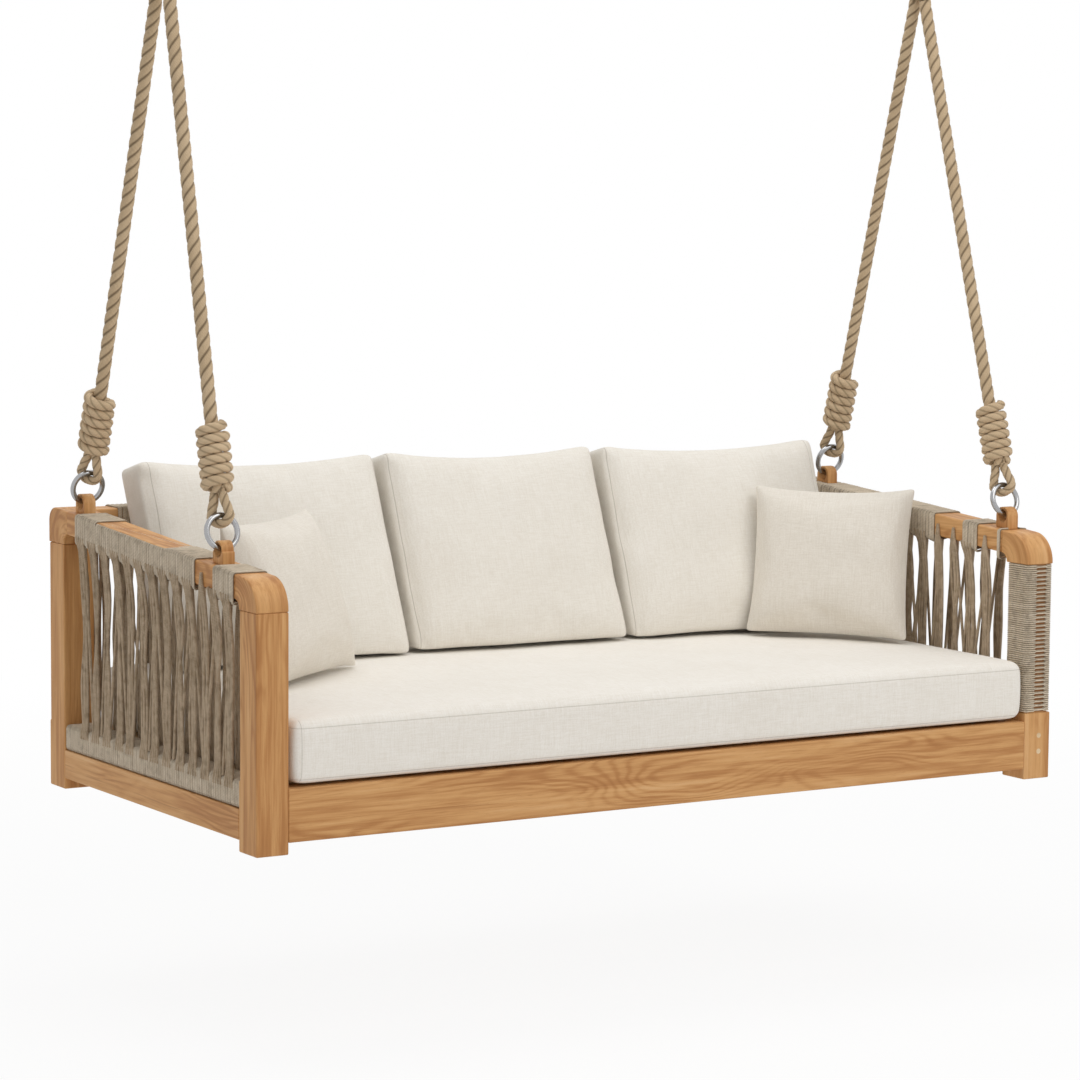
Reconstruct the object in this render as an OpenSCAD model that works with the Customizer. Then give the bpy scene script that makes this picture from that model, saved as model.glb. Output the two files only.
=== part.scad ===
// Hanging swing bed: a wooden day-bed frame with cord sides, hung on two ropes.
// Bed frame used inside the modules: x from the left face, y from the front faces,
// z from the underside of the feet. place() moves it to the ceiling mount.

/* [Bed frame] */
// Length of the bed over the posts
bed_l = 2000; // [1700:10:2300]
// Depth of the bed over the posts
bed_d = 1000; // [900:10:1150]
// Width of a post across the front
post_w = 72; // [60:1:90]
// Depth of a post's shaft
post_d = 74; // [60:1:90]
// How much deeper the foot is than the shaft
foot_step = 4; // [2:1:8]
// Height of the foot block
foot_h = 145; // [120:1:180]
// Height of the arm's top at the front
arm_top = 548; // [480:1:600]
// Rise of the arm from front to back
arm_rise = 69; // [20:1:110]
// Straight part of the front corner block under its inner curve
seam_down_front = 1.6; // [1:0.1:45]
// Straight part of the back corner block under its inner curve
seam_down_back = 4.4; // [1:0.1:45]
// Height of an arm rail
rail_h = 50; // [40:1:56]
// Radius of a rail's long edges
rail_r = 5; // [2:1:8]
// Outer radius of the front corner block
elbow_r = 64; // [30:1:64]
// Outer radius of the back corner block
back_elbow_r = 30; // [15:1:50]
// Inner radius of a corner block
elbow_inner = 18; // [8:1:30]
// Depth of the back rails, front to back
back_rail_d = 66; // [50:1:70]
// How far the back rails lie inside the back face
back_rail_inset = 6; // [0:1:12]

/* [Base] */
// Height of the underside of the aprons and the front rail
base_low = 24; // [10:1:60]
// Height of the top of the front rail
front_rail_top = 132; // [115:1:135]
// Thickness of the front rail
front_rail_t = 64; // [30:1:70]
// Thickness of the back rail
back_rail_t = 22; // [18:1:40]
// Thickness of a side apron
apron_t = 28; // [20:1:40]
// Height of the top of a side apron
apron_top = 86; // [70:1:88]
// Height of the underside of the cord rails
cord_rail_low = 90; // [89:1:100]
// Height of the top of the cord rails
cord_rail_top = 139; // [120:1:145]
// How far a side cord rail lies inside the posts' faces
cord_rail_in = 6; // [2:1:12]
// How far the back cord rail lies inside the back top rail's faces
back_cord_rail_in = 3; // [0:1:10]
// Number of slats
slat_n = 15; // [8:1:20]
// Width of a slat
slat_w = 68; // [40:1:80]
// Thickness of a slat
slat_t = 18; // [12:1:22]
// Height of the slats' top
slat_top = 136; // [133:1:140]
// Thickness of a ledger
ledger_t = 26; // [18:1:40]
// Height of a ledger
ledger_h = 40; // [25:1:60]
// Thickness of the middle beam
beam_t = 45; // [30:1:60]
// Height of the middle beam
beam_h = 60; // [40:1:70]
// Distance from the front faces to the middle beam's centre
beam_y = 430; // [380:5:560]
// Height of the back ledger, which is screwed to the back rail
back_ledger_h = 72; // [50:1:90]
// Diameter of a joint dowel
dowel_d = 10; // [8:1:12]
// Length of a joint dowel
dowel_l = 60; // [40:2:70]

/* [Cord sides] */
// Thickness of a cord wrap on a rail
wrap_t = 3.5; // [2:0.5:5]
// Width of one strand, a bundle of thin cords
strand_w = 24; // [14:1:30]
// Thickness of a strand
strand_t = 9; // [5:1:12]
// Distance between strands along a side
strand_pitch = 58; // [45:1:80]
// Inset of the right front post's shaft under its winding
post_recess = 4; // [2:0.5:6]
// Start of the left arm's long wrap
left_wrap_y = 272; // [240:1:320]
// Start of the right arm's long wrap
right_wrap_y = 341; // [320:1:380]
// End of the left arm's front wrap
left_band_end = 190; // [140:1:190]
// Width of the cords laid side by side on the right front post
post_cord_w = 13; // [8:0.5:13]
// Thickness of the cords on the right front post
post_cord_t = 4.6; // [3:0.2:6]
// Least distance between the turns of the post winding
post_step = 13.9; // [13.9:0.1:26]
// Distance from the foot block to the post winding
post_wrap_up = 7; // [5:0.5:35]

/* [Ropes and rings] */
// Distance from the outer faces to the ropes
lug_x = 34; // [30:1:38]
// Distance from the front faces to the left front lug
lug_left_front = 211; // [205:1:225]
// Distance from the back faces to the left back lug
lug_left_back = 120; // [110:1:160]
// Distance from the front faces to the right front lug
lug_right_front = 125; // [122:1:150]
// Distance from the back faces to the right back lug
lug_right_back = 180; // [140:1:200]
// Width of a lug across the rail
lug_w = 28; // [22:1:32]
// Length of a lug along the rail
lug_l = 46; // [40:1:60]
// Wood over the ring's wire in a lug
lug_cap = 17; // [15:1:22]
// Diameter of a lug's hole at its throat
lug_bore = 19; // [17:0.5:21]
// How far a lug's hole widens to each face
lug_flare = 5; // [3.5:0.5:5]
// Height of the front rings' wire above the rail
wire_front = 31; // [28:1:36]
// Height of the back rings' wire above the rail
wire_back = 25; // [23:1:32]
// Diameter of a lug bolt
lug_bolt_d = 6; // [4:0.5:7]
// Length of a lug bolt
lug_bolt_l = 60; // [50:1:62]
// Radius of a ring at the middle of its wire
ring_r = 34; // [30:1:42]
// Diameter of a ring's wire
ring_wire = 12; // [8:0.5:13]
// Diameter of the hanging rope
rope_d = 28; // [20:1:30]
// Diameter of the rope where it is drawn tight in the eyes and knots
tight_d = 20; // [16:0.5:21]
// Distance from the ring's lowest wire to the knot
knot_gap = 112; // [108:1:130]
// Distance between a knot's turns
knot_pitch = 21; // [21:0.5:24]
// Turns of a knot
knot_turns = 6; // [4:1:7]
// Distance from the front faces to the hanging point
hook_y = 484; // [440:1:560]
// Turns of the top lashing
lash_turns = 4; // [3:1:6]
// Diameter of the lashing cord
lash_d = 11; // [8:0.5:12]
// Middle radius of the rope's loop through the top ring
loop_r = 36; // [30:1:42]
// Length of the rope's loop above the lashing
loop_l = 95; // [80:1:130]

/* [Ceiling plates] */
// Height of the ceiling above the underside of the feet
ceiling_z = 2070; // [2065:1:2200]
// Length of a ceiling plate along the bed's depth
plate_l = 140; // [124:1:200]
// Width of a ceiling plate
plate_w = 70; // [56:1:100]
// Thickness of a ceiling plate
plate_t = 8; // [5:1:12]
// Distance between a plate's two screw holes
screw_gap = 100; // [90:1:110]
// Diameter of a plate's screw holes
screw_hole = 9; // [7:0.5:11]
// Distance from the underside of a ceiling plate to the pivot
ear_drop = 52; // [40:1:150]
// Thickness of an ear
ear_t = 8; // [5:1:10]
// Width of an ear
ear_w = 40; // [36:1:50]
// Diameter of the pivot pin
pin_d = 12; // [10:0.5:13]
// Wall of the pivot bush
bush_t = 2; // [1.5:0.5:3]
// Width of the hanger's pivot tube
tube_w = 24; // [18:1:30]
// Thickness of the hanger's bar
hanger_t = 10; // [8:1:12]
// Wall of the hanger's pivot tube
tube_wall = 6; // [4:1:8]
// Distance from the pivot to the hanger's lower hole
hanger_l = 50; // [46:1:60]
// Diameter of the hanger's lower hole
hanger_bore = 20; // [18:0.5:22]

/* [Cushions] */
// Clearance from each end of the seat cushion to the posts
seat_end_gap = 6; // [4:1:40]
// Distance of the seat cushion's front from the front faces
seat_front = -8; // [-15:1:20]
// Clearance from the seat cushion's back to the wrapped cord rail
seat_back_gap = 13.5; // [5:0.5:60]
// Height of the seat cushion's boxing
seat_t = 134; // [100:1:160]
// Crown of the seat cushion's top
seat_crown = 15; // [5:1:25]
// Height of a back cushion
back_h = 432; // [350:1:480]
// Thickness of a back cushion at its foot
back_t = 122; // [90:1:140]
// Thickness of a back cushion at its top
back_top_t = 108; // [80:1:120]
// Crown of a back cushion's front
back_crown = 24; // [10:1:35]
// Space from the left post to the first back cushion
back_space_left = 80; // [20:1:120]
// Space from the last back cushion to the right post
back_space_right = 69; // [20:1:120]
// Gap between the left and the middle back cushion
back_gap_left = 9; // [2:1:30]
// Gap between the middle and the right back cushion
back_gap_right = 10; // [2:1:30]
// How much narrower the middle back cushion is than the left
back_less = 20; // [0:1:40]
// How much wider the right back cushion is than the left
back_more = 4; // [0:1:30]
// Distance from the back faces to the foot of the left back cushion
back_foot_left = 345; // [335:1:400]
// Distance from the back faces to the foot of the middle back cushion
back_foot_middle = 366; // [335:1:400]
// Distance from the back faces to the foot of the right back cushion
back_foot_right = 382; // [335:1:400]
// Clearance from the left back cushion to the wrapped back rail
back_clear_left = 12.8; // [5:0.1:60]
// Clearance from the middle back cushion to the wrapped back rail
back_clear_middle = 44.1; // [5:0.1:90]
// Clearance from the right back cushion to the wrapped back rail
back_clear_right = 76.4; // [5:0.1:120]
// Height of a pillow
pillow_h = 368; // [320:1:420]
// Crown of a pillow
pillow_crown = 54; // [35:1:65]
// Half thickness of a pillow's edge
pillow_edge = 5; // [4:1:10]
// Width of the left pillow
pillow_left_w = 412; // [360:1:430]
// Width of the right pillow
pillow_right_w = 396; // [360:1:430]
// Distance from the left faces to the left pillow's middle
pillow_left_in = 318; // [300:1:400]
// Distance from the right faces to the right pillow's middle
pillow_right_in = 256; // [250:1:350]
// Distance from the back faces to the left pillow's back
pillow_left_back = 454; // [440:1:520]
// Distance from the back faces to the right pillow's back
pillow_right_back = 424; // [415:1:520]

/* [Hidden] */
$fn = 48;
gap = 0.3;
fit = 0.05;
slope = arm_rise / bed_d;
slope_deg = atan(slope);
post_y = [0, bed_d - post_d - foot_step];
foot_d = post_d + foot_step;
block_l = foot_d + elbow_inner;
rail_y = [block_l, bed_d - block_l];
side_sign = [1, -1];
function arm_z(y) = arm_top + slope * y;
// The posts end where the corner blocks' inner curves have run out
seam_front = arm_z(block_l) - rail_h - elbow_inner - seam_down_front;
seam_back = arm_z(rail_y[1]) - rail_h - elbow_inner - seam_down_back;
// The front corner's radius ends at the seam at the latest
elbow_out = min(elbow_r, (arm_top - seam_front) / (sqrt(1 + slope * slope) - slope));
// Dowels of the arms and the back rail lie between these heights
arm_low = seam_front - dowel_l;
arm_high = arm_top + arm_rise + dowel_l;

// Back rails
back_y = bed_d - back_rail_inset - back_rail_d;
back_top_z = arm_z(bed_d) - back_rail_inset;
inner_l = bed_l - 2 * post_w;
back_cord_d = back_rail_d - 2 * back_cord_rail_in;

// Dowels lie this far from a member's edges
dowel_in = 20;

// Slat bed
slat_low = slat_top - slat_t;
slat_end = bed_d - foot_d;
beam_low = slat_low - beam_h;
slat_pitch = (inner_l - slat_w - 2 * gap) / (slat_n - 1);

// Strands
strand_x = [1, post_w - 1 - strand_t];
strand_y0 = block_l + 16;
arm_strands = floor((rail_y[1] - 16 - strand_y0 - strand_w) / strand_pitch) + 1;
back_strand_x0 = post_w + 30;
back_strands = floor((bed_l - 2 * back_strand_x0 - strand_w) / strand_pitch) + 1;
band_narrow = 16;
lobe_band = [182, 236];
back_wrap_in = 60;

// Hanging gear, seen along x at each rope
pivot_z = ceiling_z - plate_t - ear_drop;
hanger_hole_z = pivot_z - hanger_l;
// A ring drops this far across half the width w of what it passes through
function ring_drop(w) = ring_r - sqrt(ring_r * ring_r - w * w / 4);
top_ring_z = hanger_hole_z + ring_drop(hanger_t) + gap - (hanger_bore - ring_wire) / 2 - ring_r;
top_wire_z = top_ring_z - ring_r;
loop_top_z = top_wire_z + rope_d / 2 + ring_wire / 2 + gap;
rope_meet_z = loop_top_z - loop_l - 4 - lash_turns * (lash_d + 1);
lug_play = 0.7;
tube_r = pin_d / 2 + fit + bush_t + tube_wall;
hanger_wall = 8;
pair_y = rope_d / 2 + 0.4;
lug_y = [[lug_left_front, bed_d - lug_left_back], [lug_right_front, bed_d - lug_right_back]];
wire_up = [wire_front, wire_back];
wire_z = [for (i = [0, 1]) [for (k = [0, 1]) arm_z(lug_y[i][k]) + wire_up[k]]];
meet_y = [hook_y - pair_y, hook_y + pair_y];
rope_run = [for (i = [0, 1]) [for (k = [0, 1]) norm([meet_y[k] - lug_y[i][k], rope_meet_z - wire_z[i][k]])]];
rope_lean = [for (i = [0, 1]) [for (k = [0, 1]) atan((meet_y[k] - lug_y[i][k]) / (rope_meet_z - wire_z[i][k]))]];
knot_r = rope_d / 2 + 0.5 + tight_d / 2;
eye_r = ring_wire / 2 + tight_d / 2 + 1;
// The eye turns a little about the rope and spreads its two legs
eye_turn = 32;
eye_wide = eye_r + 4.5;
leg_y = tight_d / 2 + 0.4;
rope_from = knot_gap + gap;
rope_seg = 6;

// Seat and cushions
seat_low = slat_top + 0.5;
seat_l = inner_l - 2 * seat_end_gap;
seat_d = back_y + back_cord_rail_in - wrap_t - seat_back_gap - seat_front;
seat_mid = seat_front + seat_d / 2;
// The back cushions share the row between the posts
back_row = inner_l - back_space_left - back_space_right - back_gap_left - back_gap_right;
side_back = (back_row + back_less - back_more) / 3;
back_wide = [side_back, side_back - back_less, side_back + back_more];
back_mid = [
  post_w + back_space_left + back_wide[0] / 2,
  post_w + back_space_left + back_wide[0] + back_gap_left + back_wide[1] / 2,
  bed_l - post_w - back_space_right - back_wide[2] / 2
];
back_foot = [bed_d - back_foot_left, bed_d - back_foot_middle, bed_d - back_foot_right];
back_clear = [back_clear_left, back_clear_middle, back_clear_right];
// A back cushion's lean takes it past the wrapped back rail at its clearance
function back_lean(q, clear) =
  let (h = back_top_z - back_base(q))
  atan((back_y - wrap_t - clear - q[2] - back_t - (back_top_t - back_t) * h / back_h) / h);
// Each back cushion: centre across the bed, width, front foot from the front, lean
BACKS = [
  for (n = [0, 1, 2]) let (q = [back_mid[n], back_wide[n], back_foot[n]])
    [q[0], q[1], q[2], back_lean(q, back_clear[n])]
];
// Each pillow leans a little less than the cushion behind it, and its back stays clear of it
pillow_half = pillow_crown + pillow_edge;
// Each pillow: centre across, centre from the front, turn, lean, width
PILLOWS = [
  [pillow_left_in, bed_d - pillow_left_back - pillow_half / cos(35), 35, 4 - BACKS[0][3], pillow_left_w],
  [bed_l - pillow_right_in, bed_d - pillow_right_back - pillow_half / cos(44), -44, 2 - BACKS[2][3], pillow_right_w]
];

// Colours
wood = [0.76, 0.53, 0.33];
pale_wood = [0.8, 0.66, 0.45];
cord_col = [0.64, 0.59, 0.52];
rope_col = [0.75, 0.65, 0.5];
steel_col = [0.62, 0.63, 0.64];
linen = [0.9, 0.88, 0.83];

// ---- Helpers -------------------------------------------------------------

module place() translate([-bed_l / 2, -hook_y, -ceiling_z]) children();

// The right side is the left side mirrored across the bed's middle
module side(i) {
  if (i == 0) children();
  else translate([bed_l, 0, 0]) mirror([1, 0, 0]) children();
}

// A flat outline in y and z, made w thick from x = x0
module slab_yz(x0, w) translate([x0, 0, 0]) rotate([90, 0, 90]) linear_extrude(w) children();

// A bar along y with its outline in x and z
module bar_y(y0, l) translate([0, y0 + l, 0]) rotate([90, 0, 0]) linear_extrude(l) children();

module round_rect(w, h, r) {
  translate([r, 0]) square([w - 2 * r, h]);
  translate([0, r]) square([w, h - 2 * r]);
  for (x = [r, w - r], y = [r, h - r]) translate([x, y]) circle(r);
}

function arc(c, r, a0, a1, n) = [for (i = [0 : n]) c + r * [cos(a0 + (a1 - a0) * i / n), sin(a0 + (a1 - a0) * i / n)]];

module rod_x(p, d, l) translate(p) rotate([0, 90, 0]) cylinder(d = d, h = l);
module rod_y(p, d, l) translate(p) rotate([-90, 0, 0]) cylinder(d = d, h = l);

// A tube through the points p, with its section's upward direction fixed
function unit(v) = v / norm(v);
function tangent(p, i) = unit(p[min(i + 1, len(p) - 1)] - p[max(i - 1, 0)]);
function ring_points(c, t, up, ru, rv, n) =
  let (s = unit(cross(t, up)), u = cross(s, t))
  [for (k = [0 : n - 1]) c + ru * cos(360 * k / n) * s + rv * sin(360 * k / n) * u];
module tube(p, ups, ru, rv, n) {
  m = len(p);
  pts = [for (i = [0 : m - 1]) each ring_points(p[i], tangent(p, i), ups[i], ru, rv, n)];
  sides = [
    for (i = [0 : m - 2], k = [0 : n - 1])
      let (a = i * n + k, b = i * n + (k + 1) % n)
      each [[a, b, b + n], [a, b + n, a + n]]
  ];
  low = [for (k = [1 : n - 2]) [0, k + 1, k]];
  top = (m - 1) * n;
  high = [for (k = [1 : n - 2]) [top, top + k, top + k + 1]];
  polyhedron(pts, concat(sides, low, high));
}

// ---- Cushion form --------------------------------------------------------

function swell(a) = pow(max(0, 1 - pow(abs(a), 3)), 0.65);

// One point of a pad: a across, b up, s = 1 front or -1 back
function pad_point(a, b, s, w, h, half, crown, draw) = [
  a * (w / 2) * (1 - draw * (1 - b * b)),
  s * (half + crown * swell(a) * swell(b)),
  b * (h / 2) * (1 - draw * (1 - a * a))
];
function pad_mid(a, b, w, h, bulge, draw) = [
  a * (w / 2) * (1 - draw * (1 - b * b)) + (abs(a) == 1 ? sign(a) * bulge * (1 - b * b) : 0),
  0,
  b * (h / 2) * (1 - draw * (1 - a * a)) + (abs(b) == 1 ? sign(b) * bulge * (1 - a * a) : 0)
];

// Border of the grid, as steps in a and b, going round once
function border(nu, nv) = concat(
  [for (i = [0 : nu - 1]) [i, 0]], [for (j = [0 : nv - 1]) [nu, j]],
  [for (i = [nu : -1 : 1]) [i, nv]], [for (j = [nv : -1 : 1]) [0, j]]
);

// Points and faces of a pad with a crown on each side and a bulging edge band
function pad_points(w, h, half, crown_f, crown_b, draw, bulge, nu, nv) =
  let (bd = border(nu, nv))
  concat(
    [for (j = [0 : nv], i = [0 : nu]) pad_point(2 * i / nu - 1, 2 * j / nv - 1, 1, w, h, half, crown_f, draw)],
    [for (j = [0 : nv], i = [0 : nu]) pad_point(2 * i / nu - 1, 2 * j / nv - 1, -1, w, h, half, crown_b, draw)],
    [for (q = bd) pad_mid(2 * q[0] / nu - 1, 2 * q[1] / nv - 1, w, h, bulge, draw)]
  );
function pad_faces(nu, nv) =
  let (m = nu + 1, g = m * (nv + 1), bd = border(nu, nv), nb = len(bd))
  concat(
    [for (j = [0 : nv - 1], i = [0 : nu - 1]) let (a = j * m + i) each [[a, a + m + 1, a + 1], [a, a + m, a + m + 1]]],
    [for (j = [0 : nv - 1], i = [0 : nu - 1])
      let (a = g + j * m + i) each [[a, a + 1, a + m + 1], [a, a + m + 1, a + m]]],
    [for (k = [0 : nb - 1])
      let (
        q = bd[k], r = bd[(k + 1) % nb], f0 = q[1] * m + q[0], f1 = r[1] * m + r[0],
        c0 = 2 * g + k, c1 = 2 * g + (k + 1) % nb
      )
      each [[f0, f1, c1], [f0, c1, c0], [c0, c1, g + f1], [c0, g + f1, g + f0]]]
  );

// ---- Hanging gear --------------------------------------------------------

module ceiling_plate(i) color(steel_col) place() side(i) translate([lug_x, hook_y, 0]) difference() {
  union() {
    translate([-plate_w / 2, -plate_l / 2, ceiling_z - plate_t]) cube([plate_w, plate_l, plate_t]);
    for (s = side_sign) translate([s * (tube_w / 2 + 0.5 + ear_t / 2) - ear_t / 2, 0, 0]) {
      translate([0, -ear_w / 2, pivot_z]) cube([ear_t, ear_w, ceiling_z - plate_t - pivot_z + 1]);
      rod_x([0, 0, pivot_z], ear_w, ear_t);
    }
  }
  rod_x([-plate_w, 0, pivot_z], pin_d + 2 * fit, 2 * plate_w);
  for (s = side_sign) translate([0, s * screw_gap / 2, ceiling_z - 2 * plate_t]) cylinder(d = screw_hole, h = 3 * plate_t);
}

pin_head = 20;
head_t = 7;
pin_in = tube_w / 2 + 0.5 + ear_t;
nut_t = 10;
module pivot_pins() color(steel_col) place() for (i = [0, 1]) side(i) translate([lug_x, hook_y, pivot_z]) {
  rod_x([-pin_in, 0, 0], pin_d, 2 * pin_in + nut_t + 3);
  rod_x([-pin_in - head_t, 0, 0], pin_head, head_t);
}

module pivot_nuts() color(steel_col) place() for (i = [0, 1]) side(i) translate([lug_x, hook_y, pivot_z])
  difference() {
    rod_x([pin_in, 0, 0], pin_head, nut_t);
    rod_x([0, 0, 0], pin_d + 2 * fit, 100);
  }

module pivot_bush(i) color([0.7, 0.55, 0.3]) place() side(i) translate([lug_x, hook_y, pivot_z]) difference() {
  rod_x([-tube_w / 2, 0, 0], pin_d + 2 * fit + 2 * bush_t, tube_w);
  rod_x([-tube_w, 0, 0], pin_d + 2 * fit, 2 * tube_w);
}

module hanger(i) color(steel_col) place() side(i) translate([lug_x, hook_y, 0]) difference() {
  union() {
    rod_x([-tube_w / 2, 0, pivot_z], 2 * tube_r, tube_w);
    rod_x([-hanger_t / 2, 0, hanger_hole_z], hanger_bore + 2 * hanger_wall, hanger_t);
    translate([-hanger_t / 2, -hanger_bore / 2 - hanger_wall + 3, hanger_hole_z])
      cube([hanger_t, hanger_bore + 2 * hanger_wall - 6, hanger_l]);
  }
  rod_x([-tube_w, 0, pivot_z], pin_d + 2 * fit + 2 * bush_t + 2 * fit, 2 * tube_w);
  rod_x([-tube_w, 0, hanger_hole_z], hanger_bore, 2 * tube_w);
}

module steel_ring() rotate([90, 0, 0]) rotate_extrude($fn = 64) translate([ring_r, 0]) circle(d = ring_wire, $fn = 24);

module top_ring(i) color(steel_col) place() side(i) translate([lug_x, hook_y, top_ring_z]) steel_ring();

// k = 0 front, 1 back: the frame along a rope, from the ring's wire in the lug
module along_rope(i, k) translate([lug_x, lug_y[i][k], wire_z[i][k]]) rotate([-rope_lean[i][k], 0, 0]) children();

module ring(i, k) color(steel_col) place() side(i) along_rope(i, k) translate([0, 0, ring_r]) steel_ring();

// The rope's route seen along x: up one lean, through the lashing, round the loop and down
function on_rope(i, k, l) = [lug_y[i][k], wire_z[i][k]] + l * [sin(rope_lean[i][k]), cos(rope_lean[i][k])];
loop_c = [hook_y, loop_top_z - loop_r];
loop_low = rope_meet_z + lash_turns * (lash_d + 1) + 4;
function half_route(i, k) =
  let (s = k == 0 ? -1 : 1)
  concat(
    [for (j = [0 : rope_seg]) on_rope(i, k, rope_from + (rope_run[i][k] - 14 - rope_from) * j / rope_seg)],
    [[hook_y + s * (pair_y + 1.2), rope_meet_z - 4], [hook_y + s * pair_y, rope_meet_z + 8]],
    [[hook_y + s * pair_y, (rope_meet_z + loop_low) / 2], [hook_y + s * (pair_y + 0.3), loop_low - 4]],
    [[hook_y + s * (pair_y + 3.5), loop_low + 14], [hook_y + s * (pair_y + 12), loop_low + 32]],
    [for (j = [0 : 5]) let (a = 90 + s * (-112 + 18.6 * j)) loop_c + loop_r * [cos(a), sin(a)]]
  );
function back_to_front(p) = [for (j = [len(p) - 1 : -1 : 0]) p[j]];
function rope_route(i) = concat(half_route(i, 0), [loop_c + [0, loop_r]], back_to_front(half_route(i, 1)));
function rope_points(i) = [for (q = rope_route(i)) [0, q[0], q[1]]];
function path_length(p, i = 0) = i >= len(p) - 1 ? 0 : norm(p[i + 1] - p[i]) + path_length(p, i + 1);
echo(rope_length_mm = [for (i = [0, 1]) path_length(rope_points(i))], rope_rings = len(rope_points(0)));

module rope(i) color(rope_col) place() side(i) translate([lug_x, 0, 0])
  tube(rope_points(i), [for (q = rope_points(i)) [1, 0, 0]], rope_d / 2, rope_d / 2, 10);

// Knot: the eye round the ring and the winding round the rope, one tube each
leg_rise = knot_gap - 6 - 2 * ring_r;
eye_leg = leg_y * eye_r / eye_wide;
eye_a0 = 90 + atan(eye_leg / leg_rise) + acos(eye_r / norm([eye_leg, leg_rise]));
eye_n = 8;
eye_flat = concat(
  [[-leg_y, knot_gap], [-leg_y, knot_gap - 6]],
  [for (j = [0 : eye_n]) let (a = eye_a0 + (540 - 2 * eye_a0) * j / eye_n) [eye_wide * cos(a), 2 * ring_r + eye_r * sin(a)]],
  [[leg_y, knot_gap - 6], [leg_y, knot_gap]]
);
function eye_route(i) = [for (q = eye_flat) [-side_sign[i] * q[0] * sin(eye_turn), q[0] * cos(eye_turn), q[1]]];
function eye_ups(i) = [for (q = eye_flat) [cos(eye_turn), side_sign[i] * sin(eye_turn), 0]];
// A winding of radius r round two rods that lie d apart in y, or one rod with d = 0
function winding(turns, pitch, r, d, n) =
  [for (j = [0 : turns * n]) let (a = 360 * (j + 0.5) / n) [r * cos(a), r * sin(a) + sign(sin(a)) * d / 2, pitch * j / n]];
// Straight ends of one diameter, square to the winding
function with_ends(w, d) =
  let (a = unit(w[0] - w[1]), b = unit(w[len(w) - 1] - w[len(w) - 2]))
  concat([w[0] + a * d], w, [w[len(w) - 1] + b * d]);
knot_path = with_ends(winding(knot_turns - 0.25, knot_pitch, knot_r, 0, 16), tight_d);
function axis_ups(p) = [for (q = p) [0, 0, 1]];

// A six-sided section has flat top and bottom, so its height is stretched to fill the pitch
knot_half = (knot_pitch / 2 - 0.4) / cos(30);
module knot(i, k) color(rope_col) place() side(i) along_rope(i, k) {
  tube(eye_route(i), eye_ups(i), tight_d / 2, tight_d / 2, 8);
  translate([0, 0, knot_gap + knot_pitch / 2 + 1])
    tube(knot_path, axis_ups(knot_path), knot_r - rope_d / 2 - 0.5, knot_half, 6);
}
// Least distance between turns a whole loop apart, less the tube's height there
function self_gap(p, n, h) = min([for (j = [0 : len(p) - 1 - n]) norm(p[j + n] - p[j])]) - h;
echo(knot_gap_mm = self_gap(knot_path, 16, knot_pitch - 0.8));

lash_path = with_ends(winding(lash_turns - 0.1, lash_d + 1, rope_d / 2 + lash_d / 2 + 0.8, 2 * pair_y, 12), lash_d);
echo(lashing_gap_mm = self_gap(lash_path, 12, lash_d));
module top_lashing(i) color(rope_col) place() side(i) translate([lug_x, hook_y, rope_meet_z + lash_d / 2 + 1])
  tube(lash_path, axis_ups(lash_path), lash_d / 2, lash_d / 2, 6);

// ---- Lugs ----------------------------------------------------------------

bolt_head = 12;
bolt_head_t = 5;
bolt_y = 16.5;
bolt_foot = rail_h - 8;
lug_r = 20;
tongue_l = lug_bore + 2 * lug_flare + 6;
// The left front lug has a narrower tongue over its shoulders
module lug_outline(i, k) {
  h = wire_up[k] + lug_cap;
  l = i == 0 && k == 0 ? tongue_l : lug_l;
  base = wire_up[k] - 4;
  r = min(lug_r, l / 2 - 1);
  translate([-lug_l / 2, -lug_l * slope]) square([lug_l, base - 4 + lug_l * slope]);
  translate([-lug_l / 2 + 4, -lug_l * slope]) square([lug_l - 8, base + lug_l * slope]);
  for (s = side_sign) translate([s * (lug_l / 2 - 4), base - 4]) circle(4);
  translate([-l / 2, 0]) square([l, h - r]);
  translate([-l / 2 + r, 0]) square([l - 2 * r, h]);
  for (s = side_sign) translate([s * (l / 2 - r), h - r]) circle(r);
}
// The ring's wire bears on the roof of the hole's throat, and the hole widens for the ring's bend
module lug_hole(i, k) translate([lug_x, lug_y[i][k], wire_z[i][k] + (ring_wire - lug_bore) / 2 + lug_play]) {
  rod_x([-2, 0, 0], lug_bore, 4);
  for (s = side_sign) rotate([0, s * 90, 0]) {
    translate([0, 0, 1]) cylinder(d1 = lug_bore, d2 = lug_bore + 2 * lug_flare, h = lug_w / 2 - 1);
    translate([0, 0, lug_w / 2 - 0.01]) cylinder(d = lug_bore + 2 * lug_flare, h = 20);
  }
}
module lug(i, k) color(wood) place() side(i) difference() {
  translate([0, lug_y[i][k], arm_z(lug_y[i][k])]) slab_yz(lug_x - lug_w / 2, lug_w) lug_outline(i, k);
  // seat on the sloping rail
  translate([0, lug_y[i][k], arm_z(lug_y[i][k])]) rotate([slope_deg, 0, 0])
    translate([0, -100, -50]) cube([post_w * 2, 200, 50]);
  lug_hole(i, k);
  lug_bolt_holes(i, k);
}
module at_lug_bolts(i, k) for (s = side_sign)
  translate([lug_x, lug_y[i][k] + s * bolt_y, arm_z(lug_y[i][k] + s * bolt_y) - bolt_foot]) children();
module lug_bolt_holes(i, k) at_lug_bolts(i, k) {
  cylinder(d = lug_bolt_d, h = lug_bolt_l);
  translate([0, 0, -40]) cylinder(d = bolt_head + 1, h = 40);
}
module lug_bolts() color(steel_col) place() for (i = [0, 1], k = [0, 1]) side(i) at_lug_bolts(i, k) {
  cylinder(d = lug_bolt_d, h = lug_bolt_l);
  translate([0, 0, -bolt_head_t]) cylinder(d = bolt_head, h = bolt_head_t);
}

// ---- Wooden frame --------------------------------------------------------

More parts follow.
